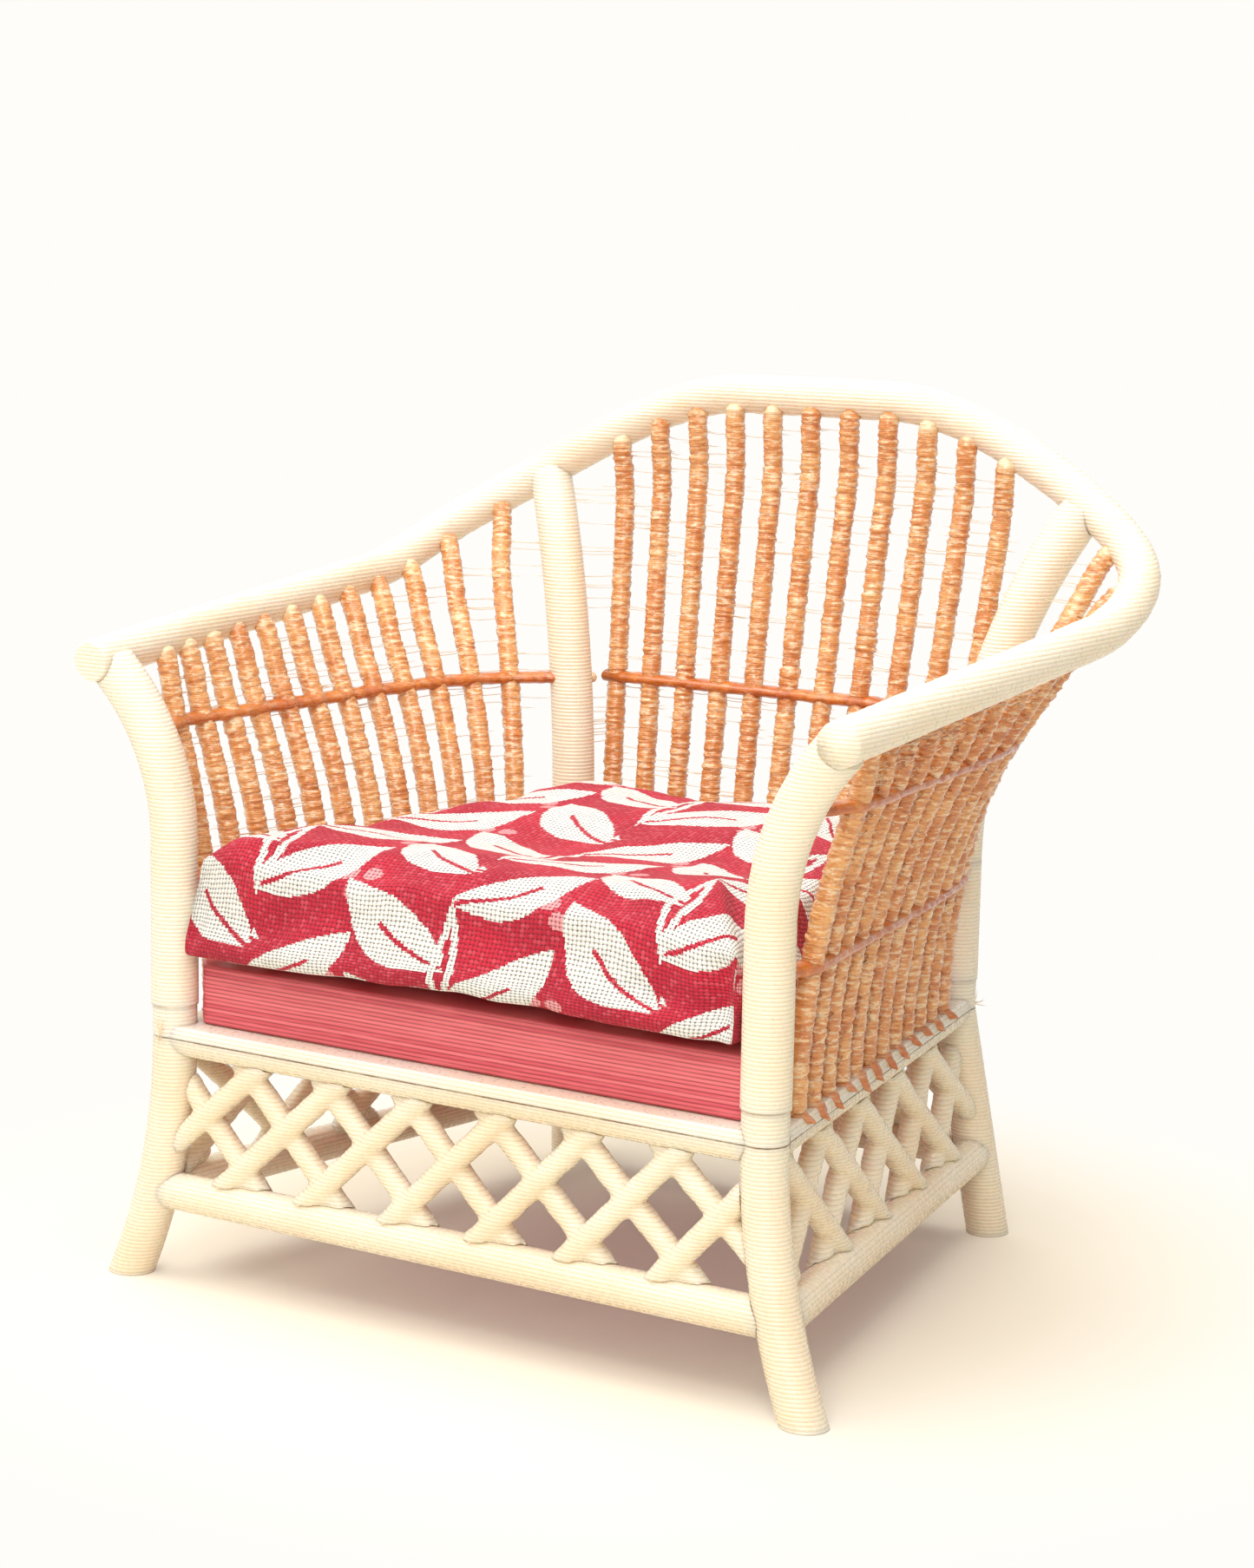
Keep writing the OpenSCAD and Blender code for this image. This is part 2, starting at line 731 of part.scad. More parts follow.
seat_rail(left, back, left, front);  // seat_rail_left
handed(right) seat_rail(left, back, left, front);  // seat_rail_right
post(left, front);  // arm_post_left
post(right, front);  // arm_post_right
post(left, back);  // back_post_left
post(right, back);  // back_post_right
arm_and_back_rail();
spindles_side(left);  // spindles_left
spindles_side(right);  // spindles_right
spindles_back();
binding_rod_side(left, binding_low_z);  // binding_rod_left_low
binding_rod_side(left, binding_high_z);  // binding_rod_left_high
binding_rod_side(right, binding_low_z);  // binding_rod_right_low
binding_rod_side(right, binding_high_z);  // binding_rod_right_high
binding_rod_back(binding_low_z);  // binding_rod_back_low
binding_rod_back(binding_high_z);  // binding_rod_back_high
seat_board();
seat_cushion();
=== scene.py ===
"""Finish of the dolls' house cane armchair: ribbed spindles, soft lattice, layered board and cushion."""
import bisect
import math
import random

import bmesh
import bpy
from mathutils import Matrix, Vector, noise


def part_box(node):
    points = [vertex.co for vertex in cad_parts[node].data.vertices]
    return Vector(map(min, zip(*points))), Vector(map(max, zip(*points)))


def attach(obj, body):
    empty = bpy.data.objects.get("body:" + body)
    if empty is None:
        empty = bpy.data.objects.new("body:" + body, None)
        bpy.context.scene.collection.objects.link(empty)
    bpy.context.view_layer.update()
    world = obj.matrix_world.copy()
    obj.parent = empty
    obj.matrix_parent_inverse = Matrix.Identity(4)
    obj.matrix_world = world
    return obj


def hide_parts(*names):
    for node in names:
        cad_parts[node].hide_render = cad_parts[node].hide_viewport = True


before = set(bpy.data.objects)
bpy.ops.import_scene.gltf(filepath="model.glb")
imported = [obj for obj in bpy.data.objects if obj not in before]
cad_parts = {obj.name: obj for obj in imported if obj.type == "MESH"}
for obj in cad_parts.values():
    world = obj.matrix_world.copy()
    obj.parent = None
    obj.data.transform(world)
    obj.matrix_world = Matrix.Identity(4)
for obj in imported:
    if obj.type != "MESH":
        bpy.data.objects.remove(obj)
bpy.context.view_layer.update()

MM = 0.001
LEFT, RIGHT = -1, 1

# Plan and heights of the chair in millimetres
FRONT_HALF, FRONT_Y = 26.0, -25.4
BACK_HALF, BACK_Y = 18.4, 18.4
SEAM_Z, SEAT_TOP, COLLAR_TOP, LOW_RAIL_Z = 19.4, 20.3, 21.8, 7.0
POST_R, HOOP_R, SPINDLE_R, BINDING_R = 1.8, 1.6, 0.8, 0.5
FRONT_SPLAY, FRONT_RAKE = 4.0, 0.6
BACK_SPLAY, BACK_RAKE = 2.0, 3.6

# Bent rail of the arms and the back
ARM_END_HALF, ARM_END_Y = 32.0, -28.0
ARM_BACK_HALF, BEND_Y = 33.4, 9.7
BEND_DEPTH, BEND_SQUARE = 16.7, 4.0
ARM_Z, ARM_RISE, CREST_Z = 47.8, 3.6, 67.0
CLIMB_START, CLIMB_END = 0.45, 0.92

# Posts and spindles
ARM_POST_RUN, BACK_POST_RUN = 1.9, 56.6
ARM_POST_BEND_Z, BACK_POST_BEND_Z = 34.4, 31.4
SIDE_SPINDLES, SIDE_FIRST, SIDE_PITCH = 12, 4.4, 3.08
SIDE_TOP_FIRST, SIDE_TOP_SPAN, SIDE_TOP_CROWDING = 7.8, 43.8, 0.33
BACK_HALF_SPINDLES, BACK_PITCH, BACK_TOP_PITCH = 5, 3.06, 3.65
SPINDLE_SETOUT = 0.6
BINDING_HEIGHTS = {"low": 31.0, "high": 42.6}
BINDING_PROUD = 1.95
END_R, END_SUNK, END_OUT = 0.45, 0.4, 0.45

# Camera of the photograph, in metres, degrees and the photograph's own pixels
CAMERA_PLACE = (0.13623, -0.22082, 0.08278)
CAMERA_YAW, CAMERA_PITCH, CAMERA_ROLL = 31.958, 9.784, 1.073
FOCAL_PIXELS, PHOTO_HEIGHT, SENSOR = 3897.48, 1807, 36.0


def mix(a, b, t):
    return a + (b - a) * t


def smooth(low, high, value):
    t = min(max((value - low) / (high - low), 0.0), 1.0)
    return t * t * (3 - 2 * t)


def hump(distance, width):
    return math.exp(-(distance / width) ** 2 / 2)


# Routes of the poles, in millimetres

def bend_point(turn):
    c, s = math.cos(turn), math.sin(turn)
    shape = abs(c / ARM_BACK_HALF) ** BEND_SQUARE + abs(s / BEND_DEPTH) ** BEND_SQUARE
    reach = shape ** (-1 / BEND_SQUARE)
    return Vector((reach * c, BEND_Y + reach * s))


def half_rail_plan(arm_steps=60, bend_steps=160):
    end, bend = Vector((ARM_END_HALF, ARM_END_Y)), Vector((ARM_BACK_HALF, BEND_Y))
    arm = [end.lerp(bend, i / arm_steps) for i in range(arm_steps)]
    return arm + [bend_point(math.pi / 2 * i / bend_steps) for i in range(bend_steps + 1)]


RAIL_PLAN = half_rail_plan()
RAIL_RUNS = [0.0]
for here, there in zip(RAIL_PLAN, RAIL_PLAN[1:]):
    RAIL_RUNS.append(RAIL_RUNS[-1] + (there - here).length)
HALF_RUN = RAIL_RUNS[-1]


def rail_z(run):
    share = run / HALF_RUN
    slope = ARM_RISE / CLIMB_START
    if share < CLIMB_START:
        return ARM_Z + slope * share
    climb = CLIMB_END - CLIMB_START
    t = min((share - CLIMB_START) / climb, 1.0)
    return mix(ARM_Z + ARM_RISE, CREST_Z, t * t * (3 - 2 * t)) + slope * climb * t * (1 - t) ** 2


def rail_at(side, run):
    along = HALF_RUN - abs(HALF_RUN - run)
    hand = -side if run > HALF_RUN else side
    i = min(max(bisect.bisect_right(RAIL_RUNS, along) - 1, 0), len(RAIL_RUNS) - 2)
    t = (along - RAIL_RUNS[i]) / (RAIL_RUNS[i + 1] - RAIL_RUNS[i])
    p = RAIL_PLAN[i].lerp(RAIL_PLAN[i + 1], t)
    return Vector((hand * p.x, p.y, rail_z(along)))


def corner(side, end):
    if end == "front":
        return Vector((side * FRONT_HALF, FRONT_Y))
    return Vector((side * BACK_HALF, BACK_Y))


def bend_radius(rise, reach):
    return (rise * rise + reach * reach) / (2 * reach)


def bend_reach(radius, rise):
    return radius - math.sqrt(radius * radius - rise * rise)


def leg_axis(side, end, z):
    front = end == "front"
    way = Vector((side * FRONT_SPLAY, -FRONT_RAKE)) if front else Vector((side * BACK_SPLAY, BACK_RAKE))
    drop = SEAM_Z - z
    if front:
        reach = bend_reach(bend_radius(SEAM_Z, way.length), drop)
    else:
        reach = way.length * drop / SEAM_Z
    p = corner(side, end) + way.normalized() * reach
    return Vector((p.x, p.y, z))


def post_axis(side, end, z):
    run, bend_z = (ARM_POST_RUN, ARM_POST_BEND_Z) if end == "front" else (BACK_POST_RUN, BACK_POST_BEND_Z)
    top = rail_at(side, run)
    reach = top.xy - corner(side, end)
    radius = bend_radius(top.z - bend_z, reach.length)
    p = corner(side, end) + reach.normalized() * bend_reach(radius, max(z - bend_z, 0.0))
    return Vector((p.x, p.y, z))


SIDE_WAY = (corner(RIGHT, "back") - corner(RIGHT, "front")).normalized()


def side_out(side):
    return Vector((side * SIDE_WAY.y, -SIDE_WAY.x))


def side_foot(side, i):
    along = Vector((side * SIDE_WAY.x, SIDE_WAY.y))
    return corner(side, "front") + along * (SIDE_FIRST + SIDE_PITCH * i) + side_out(side) * SPINDLE_SETOUT


def side_top(side, i):
    t = i / (SIDE_SPINDLES - 1)
    crowd = t * (1 - SIDE_TOP_CROWDING) + t * t * SIDE_TOP_CROWDING
    return rail_at(side, SIDE_TOP_FIRST + SIDE_TOP_SPAN * crowd)


def side_axis(side, i, z):
    foot, top = side_foot(side, i), side_top(side, i)
    reach = top.xy - foot
    radius = bend_radius(top.z - SEAT_TOP, reach.length)
    p = foot + reach.normalized() * bend_reach(radius, max(z - SEAT_TOP, 0.0))
    return Vector((p.x, p.y, z))


def back_foot(i):
    return Vector((i * BACK_PITCH, BACK_Y + SPINDLE_SETOUT, SEAT_TOP))


def back_top(i):
    return rail_at(LEFT if i < 0 else RIGHT, HALF_RUN - abs(i) * BACK_TOP_PITCH)


def back_axis(i, z):
    foot, top = back_foot(i), back_top(i)
    return foot.lerp(top, (z - SEAT_TOP) / (top.z - SEAT_TOP))


# Tips lie against the inner side of the bent rail, and feet run down the outer side of the seat rail
TIP_INWARD, TIP_BEND = 1.0, 6.0
SIDE_TIP_RISE, BACK_TIP_RISE = -0.2, -0.7
DRIP_DROP, DRIP_OUT = 0.75, 1.55
DRIP_BEND_DROP, DRIP_BEND_OUT = 0.2, 0.45
SIDE_DRIP_SHARES, BACK_DRIP_SHARES = (0.4, 1.5), (0.7, 1.1)
FOOT_START = 0.1


def upright(z):
    return Vector((0, 0, z))


def cane_route(axis, foot, top, outward, drop, rise, steps=26):
    """Points from the drip on the seat rail, up a spindle's axis, to its bent tip."""
    out = outward.to_3d().normalized()
    high = top.z + rise
    drip = out * DRIP_OUT
    route = [foot + drip - upright(drop), foot + drip * DRIP_BEND_OUT - upright(drop * DRIP_BEND_DROP)]
    for k in range(steps + 1):
        z = mix(SEAT_TOP + FOOT_START, high, k / steps)
        inward = TIP_INWARD * smooth(high - TIP_BEND, high, z)
        route.append(axis(min(z, top.z)) - out * inward + upright(max(z - top.z, 0)))
    return route


def side_cane_route(side, i, drop):
    foot, top = side_foot(side, i).to_3d() + upright(SEAT_TOP), side_top(side, i)
    return cane_route(lambda z: side_axis(side, i, z), foot, top, side_out(side), drop, SIDE_TIP_RISE)


def back_cane_route(i, drop):
    backwards = Vector((0, 1))
    return cane_route(lambda z: back_axis(i, z), back_foot(i), back_top(i), backwards, drop, BACK_TIP_RISE)


def binding_route(panel, level):
    z = BINDING_HEIGHTS[level]
    if panel == "back":
        n = BACK_HALF_SPINDLES
        stops = [back_axis(i, z) for i in range(-n, n + 1)]
        end = (stops[0] - stops[1]).normalized()
        return [stops[0] + end] + stops + [stops[-1] + Vector((-end.x, end.y, end.z))]
    side = LEFT if panel == "left" else RIGHT
    stops = [side_axis(side, i, z) for i in range(SIDE_SPINDLES)]
    return [post_axis(side, "front", z)] + stops + [post_axis(side, "back", z)]


# Helpers for node trees

def feed(tree, socket, value):
    """Link a socket to another one, or give it a plain value."""
    if isinstance(value, bpy.types.NodeSocket):
        tree.links.new(value, socket)
    else:
        socket.default_value = value


def put(tree, kind, inputs=None, **settings):
    made = tree.nodes.new(kind)
    for name, value in settings.items():
        setattr(made, name, value)
    for key, value in (inputs or {}).items():
        feed(tree, made.inputs[key], value)
    return made


def sums(tree, operation, *values, clamp=False):
    made = put(tree, "ShaderNodeMath", dict(enumerate(values)), operation=operation, use_clamp=clamp)
    return made.outputs[0]


def plus(tree, a, b):
    return sums(tree, "ADD", a, b)


def minus(tree, a, b):
    return sums(tree, "SUBTRACT", a, b)


def times(tree, a, b):
    return sums(tree, "MULTIPLY", a, b)


def off_middle(tree, value):
    """Distance from the middle of each whole step, from 0 to a half."""
    return sums(tree, "ABSOLUTE", minus(tree, sums(tree, "FRACT", value), 0.5))


def wrapped(tree, value, centre, repeat):
    """Distance from the nearest copy of a centre that repeats."""
    return sums(tree, "WRAP", minus(tree, value, centre), repeat / 2, -repeat / 2)


def scaled(tree, value, factor):
    return put(tree, "ShaderNodeVectorMath", {0: value, "Scale": factor}, operation="SCALE").outputs[0]


def part_of(tree, value, k):
    """The x, y or z of a vector, for k of 0, 1 or 2."""
    return put(tree, "ShaderNodeSeparateXYZ", {0: value}).outputs[k]


def vector(tree, x=0.0, y=0.0, z=0.0):
    return put(tree, "ShaderNodeCombineXYZ", {0: x, 1: y, 2: z}).outputs[0]


def speckle(tree, where, scale, detail=2.0, roughness=0.5):
    inputs = {"Vector": where, "Scale": scale, "Detail": detail, "Roughness": roughness}
    return put(tree, "ShaderNodeTexNoise", inputs).outputs["Fac"]


def step_up(tree, value, low, high, to_low=0.0, to_high=1.0):
    made = put(tree, "ShaderNodeMapRange", {0: value, 1: low, 2: high, 3: to_low, 4: to_high})
    made.interpolation_type = "SMOOTHSTEP"
    return made.outputs[0]


def tint(tree, factor, a, b):
    return put(tree, "ShaderNodeMix", {0: factor, 6: a, 7: b}, data_type="RGBA").outputs[2]


def colour(red, green, blue):
    """Screen colour from 0 to 255 as the linear colour that a shader takes."""
    def linear(c):
        c /= 255
        return c / 12.92 if c <= 0.04045 else ((c + 0.055) / 1.055) ** 2.4
    return (linear(red), linear(green), linear(blue), 1.0)


def attribute(tree, name):
    return put(tree, "ShaderNodeAttribute", attribute_name=name).outputs["Fac"]


class Finish:
    """A material with its tree, its shader and its place on the piece."""

    def __init__(self, name):
        self.material = bpy.data.materials.new(name)
        self.material.use_nodes = True
        self.tree = self.material.node_tree
        self.shader = self.tree.nodes["Principled BSDF"]
        self.place = put(self.tree, "ShaderNodeTexCoord").outputs["Object"]
        self.height = part_of(self.tree, self.place, 2)

    def set(self, **sockets):
        for name, value in sockets.items():
            feed(self.tree, self.shader.inputs[name.replace("_", " ")], value)

    def bump(self, heights):
        """Raise the surface by each (height, distance in millimetres, strength) in turn."""
        normal = None
        for value, distance, strength in heights:
            inputs = {"Height": value, "Distance": distance * MM, "Strength": strength}
            if normal:
                inputs["Normal"] = normal
            normal = put(self.tree, "ShaderNodeBump", inputs).outputs[0]
        self.tree.links.new(normal, self.shader.inputs["Normal"])

    def layers(self, pitch, wobble):
        """Level print layers as a wave from 0 to a half along the height, a little uneven."""
        t = self.tree
        drift = times(t, speckle(t, self.place, scale=140.0), wobble)
        return off_middle(t, plus(t, sums(t, "DIVIDE", self.height, pitch * MM), drift))

    def line_at(self, z, width):
        """A level line at one height, from 0 beside it to 1 on it."""
        t = self.tree
        off = sums(t, "ABSOLUTE", minus(t, self.height, z * MM))
        return step_up(t, off, 0.0, width * MM, 1.0, 0.0)


# Layer heights and lines in millimetres, and the shades that plastic and stain take, with painted shade for
# the layer grooves and painted glints on the canes
PRINT_LAYER, CANE_LAYER, BOARD_LAYER = 0.3, 0.17, 0.307
GLUE_LINE = 0.09
# The first colour is painted shade for the layer grooves; scuff and glue tints follow
PAINTED_LAYER_SHADE, SCUFF_SHADE, GLUE_BROWN = colour(216, 186, 144), colour(212, 180, 136), colour(138, 92, 48)
# Painted pale glint for the canes, and the bare print of their tips
CANE_PAINTED_GLINT, BARE_TIP = colour(254, 236, 200), colour(244, 222, 184)
# Rose reds of the board's layers, and the painted shade of their grooves
ROSE_DARK, ROSE_LIGHT, ROSE_GROOVE_PAINTED_SHADE = colour(212, 82, 96), colour(240, 126, 132), colour(138, 30, 50)
ROSE_STREAK = colour(240, 128, 138)


def printed_plastic(name, pale, deep, gloss, wear, glue_heights):
    """Cream printed plastic with level layers whose grooves carry painted shade, pits, scuffs and brown glue
    lines.
    """
    f = Finish(name)
    t = f.tree
    cloud = speckle(t, f.place, scale=90.0, detail=3.0)
    grain = speckle(t, f.place, scale=2600.0)
    pits = speckle(t, f.place, scale=900.0, detail=4.0, roughness=0.7)
    body = tint(t, step_up(t, cloud, 0.35, 0.68), pale, deep)
    up = part_of(t, put(t, "ShaderNodeNewGeometry").outputs["Normal"], 2)
    steep = step_up(t, sums(t, "ABSOLUTE", up), 0.86, 0.985, 1.0, 0.0)
    layer = times(t, f.layers(PRINT_LAYER, wobble=0.35), steep)
    # Painted shade: the layer grooves on steep faces are tinted darker
    body = tint(t, step_up(t, layer, 0.28, 0.5, 0.0, 0.55), body, PAINTED_LAYER_SHADE)
    body = tint(t, times(t, step_up(t, pits, 0.64, 0.74), wear), body, SCUFF_SHADE)
    for z in glue_heights:
        broken = step_up(t, speckle(t, f.place, scale=420.0, detail=3.0), 0.38, 0.56)
        line = times(t, f.line_at(z, GLUE_LINE), broken)
        body = tint(t, times(t, line, 0.8), body, GLUE_BROWN)
    f.set(Base_Color=body, Subsurface_Weight=0.5, Subsurface_Radius=(1.0, 0.72, 0.46),
          Subsurface_Scale=0.0016, IOR=1.48)
    f.set(Roughness=step_up(t, grain, 0.3, 0.7, gloss, gloss + 0.22))
    f.bump([(layer, -0.1, 0.9), (grain, 0.03, 0.5), (pits, 0.02 + 0.15 * wear, 0.6)])
    return f.material


def stained_cane(name, pale, mid, deep, gloss, rough):
    """Amber stain that gathers in the grooves of the ribs and leaves some tips bare, with painted pale
    glints on raised level dashes and painted shade in their hollows.
    """
    f = Finish(name)
    t = f.tree
    cloud = speckle(t, f.place, scale=260.0, detail=3.0)
    fleck = speckle(t, f.place, scale=1500.0, detail=3.0, roughness=0.6)
    body = tint(t, step_up(t, cloud, 0.34, 0.66), mid, pale)
    hollow = step_up(t, plus(t, attribute(t, "groove"), times(t, fleck, 0.8)), 0.0, 0.75, 1.0, 0.0)
    body = tint(t, times(t, hollow, 0.34), body, deep)
    level = put(t, "ShaderNodeVectorMath", {0: f.place, 1: (1.0, 1.0, 4.5)}, operation="MULTIPLY").outputs[0]
    dash = speckle(t, level, scale=900.0, detail=3.0, roughness=0.65)
    # Painted highlight on the raised dashes, and painted shade in their hollows below
    body = tint(t, step_up(t, dash, 0.52, 0.6, 0.0, 0.62 * rough), body, CANE_PAINTED_GLINT)
    body = tint(t, step_up(t, dash, 0.36, 0.45, 0.5 * rough, 0.0), body, deep)
    body = tint(t, step_up(t, attribute(t, "from_foot"), 0.8 * MM, 2.4 * MM, 0.65, 0.0), body, deep)
    near_tip = step_up(t, attribute(t, "from_tip"), 0.3 * MM, 1.5 * MM, 1.0, 0.0)
    bare = times(t, near_tip, step_up(t, cloud, 0.44, 0.58))
    body = tint(t, times(t, bare, 0.8), body, BARE_TIP)
    f.set(Base_Color=body, Subsurface_Weight=0.12, Subsurface_Radius=(1.0, 0.45, 0.18),
          Subsurface_Scale=0.0006, IOR=1.5, Coat_Weight=0.5, Coat_Roughness=0.14)
    f.set(Roughness=step_up(t, fleck, 0.3, 0.7, gloss, gloss + 0.25))
    layer = f.layers(CANE_LAYER, wobble=0.8)
    f.bump([(layer, 0.05, 0.6), (dash, 0.14 * rough, 0.7), (fleck, 0.05, 0.5)])
    return f.material


def rose_layers():
    """Rose red print whose level layers alternate light and dark, with painted shade in the grooves between
    them.
    """
    f = Finish("rose red board")
    t = f.tree
    x = part_of(t, f.place, 0)
    drift = times(t, speckle(t, vector(t, x, 0.0, f.height), scale=110.0), 0.5)
    phase = plus(t, sums(t, "DIVIDE", f.height, BOARD_LAYER * MM), drift)
    layer = times(t, off_middle(t, phase), 2.0)
    number = sums(t, "FLOOR", phase)
    each = put(t, "ShaderNodeTexWhiteNoise", {"W": number}, noise_dimensions="1D").outputs[0]
    lengthwise = vector(t, times(t, x, 0.06), 0.0, f.height)
    streak = speckle(t, lengthwise, scale=3200.0, detail=3.0, roughness=0.7)
    body = tint(t, each, ROSE_DARK, ROSE_LIGHT)
    # Painted shade: the grooves between layers are tinted dark red
    body = tint(t, times(t, step_up(t, layer, 0.35, 1.0), 0.75), body, ROSE_GROOVE_PAINTED_SHADE)
    body = tint(t, times(t, step_up(t, streak, 0.45, 0.7), 0.4), body, ROSE_STREAK)
    f.set(Base_Color=body, Subsurface_Weight=0.1, Subsurface_Radius=(1.0, 0.3, 0.3), Subsurface_Scale=0.0006)
    f.set(Roughness=step_up(t, streak, 0.3, 0.7, 0.34, 0.55))
    f.bump([(layer, -0.05, 0.6), (streak, 0.02, 0.5)])
    return f.material


# Printed cotton of the cushion, in millimetres of cloth
THREAD = 0.37
REPEAT_X, REPEAT_Y = 18.0, 19.0
LEAF_LENGTH, LEAF_WIDTH = 12.6, 5.2
VEIN_HALF, VEIN_END, STEM_HALF, STEM_SWAY, DOT_R = 0.2, 0.25, 0.32, 0.8, 0.75
# Each leaf's centre, its turn in radians, its share of the length and width, and its bend
LEAVES = (
    (5.0, 2.8, 0.72, 1.0, 1.0, 1.2), (-4.8, 7.2, 2.4, 0.95, 1.05, -1.2),
    (5.2, 12.2, 0.55, 0.92, 0.9, 1.3), (-5.0, 16.4, 2.6, 1.0, 0.95, -1.3),
)
DOTS = ((9.0, 0.6), (8.0, 2.4), (9.9, 2.6), (9.0, 9.9), (8.0, 11.4))
CRIMSON, DEEP_CRIMSON, CRIMSON_FLECK = colour(200, 30, 58), colour(180, 22, 50), colour(236, 110, 124)
PINK, LEAF_WHITE, LEAF_GREY = colour(246, 176, 180), colour(246, 245, 241), colour(232, 231, 226)
# Painted shade for the open gaps of the weave, in crimson and in white
CRIMSON_GAP_PAINTED_SHADE, WHITE_GAP_PAINTED_SHADE = colour(104, 10, 30), colour(92, 88, 88)


def leaf_group():
    """One almond leaf, bent a little, as a mask over the cloth."""
    g = bpy.data.node_groups.new("almond leaf", "ShaderNodeTree")
    for name in ("X", "Y", "Centre X", "Centre Y", "Turn", "Length", "Width", "Bend"):
        g.interface.new_socket(name, in_out="INPUT", socket_type="NodeSocketFloat")
    g.interface.new_socket("Leaf", in_out="OUTPUT", socket_type="NodeSocketFloat")
    at = g.nodes.new("NodeGroupInput").outputs
    dx = wrapped(g, at["X"], at["Centre X"], REPEAT_X)
    dy = wrapped(g, at["Y"], at["Centre Y"], REPEAT_Y)
    c, s = sums(g, "COSINE", at["Turn"]), sums(g, "SINE", at["Turn"])
    along = plus(g, times(g, dx, c), times(g, dy, s))
    across = minus(g, times(g, dy, c), times(g, dx, s))
    share = sums(g, "DIVIDE", times(g, along, 2.0), at["Length"])
    square = times(g, share, share)
    off_vein = sums(g, "ABSOLUTE", minus(g, across, times(g, at["Bend"], square)))
    half = times(g, minus(g, 1.0, square), times(g, at["Width"], 0.5))
    mask = sums(g, "GREATER_THAN", minus(g, half, off_vein), 0.0)
    vein = sums(g, "LESS_THAN", off_vein, VEIN_HALF)
    short = sums(g, "LESS_THAN", share, VEIN_END)
    leaf = sums(g, "SUBTRACT", mask, times(g, vein, short), clamp=True)
    put(g, "NodeGroupOutput", {0: leaf})
    return g


def plain_weave(t, cloth):
    """Thread places, yarn height, open gaps and a chance value for each crossing of the weave."""
    waver = put(t, "ShaderNodeTexNoise", {"Vector": cloth, "Scale": 0.9, "Detail": 2.0}).outputs["Color"]
    waver = put(t, "ShaderNodeVectorMath", {0: waver, 1: (0.5, 0.5, 0.5)}, operation="SUBTRACT").outputs[0]
    woven = put(t, "ShaderNodeVectorMath", {0: cloth, 1: scaled(t, waver, 0.22)}, operation="ADD").outputs[0]
    threads = [sums(t, "DIVIDE", part_of(t, woven, k), THREAD) for k in (0, 1)]
    cell_u, cell_v = (sums(t, "FLOOR", k) for k in threads)
    off_u, off_v = (times(t, off_middle(t, k), 2.0) for k in threads)
    dome_u, dome_v = (minus(t, 1.0, times(t, k, k)) for k in (off_u, off_v))
    flat_u, flat_v = (minus(t, 1.0, times(t, minus(t, 1.0, k), 0.45)) for k in (dome_u, dome_v))
    over = sums(t, "FLOORED_MODULO", plus(t, cell_u, cell_v), 2.0)
    warp = times(t, times(t, dome_u, flat_v), over)
    weft = times(t, times(t, dome_v, flat_u), minus(t, 1.0, over))
    gap = step_up(t, times(t, off_u, off_v), 0.36, 0.7)
    crossing = vector(t, cell_u, cell_v)
    each = put(t, "ShaderNodeTexWhiteNoise", {"Vector": crossing}, noise_dimensions="2D").outputs[0]
    return threads, plus(t, warp, weft), gap, each


def leaf_print(t, threads):
    """Masks of the trailing leaves and of the dots, stepped by half threads as print on cloth is."""
    x, y = (times(t, sums(t, "SNAP", plus(t, k, 0.25), 0.5), THREAD) for k in threads)
    column = sums(t, "FLOORED_MODULO", sums(t, "FLOOR", sums(t, "DIVIDE", x, REPEAT_X)), 2.0)
    y = plus(t, y, times(t, column, REPEAT_Y / 2))
    sway = times(t, sums(t, "SINE", times(t, y, 2 * math.pi / REPEAT_Y)), STEM_SWAY)
    leaves = sums(t, "LESS_THAN", sums(t, "ABSOLUTE", wrapped(t, x, sway, REPEAT_X)), STEM_HALF)
    leaf_tree = leaf_group()
    for cx, cy, turn, length, width, bend in LEAVES:
        inputs = {"X": x, "Y": y, "Centre X": cx, "Centre Y": cy, "Turn": turn,
                  "Length": LEAF_LENGTH * length, "Width": LEAF_WIDTH * width, "Bend": bend}
        leaf = put(t, "ShaderNodeGroup", inputs, node_tree=leaf_tree)
        leaves = sums(t, "MAXIMUM", leaves, leaf.outputs[0])
    dots = 0.0
    for cx, cy in DOTS:
        dx, dy = wrapped(t, x, cx, REPEAT_X), wrapped(t, y, cy, REPEAT_Y)
        far = sums(t, "SQRT", plus(t, times(t, dx, dx), times(t, dy, dy)))
        dots = sums(t, "MAXIMUM", dots, sums(t, "LESS_THAN", far, DOT_R))
    return leaves, dots


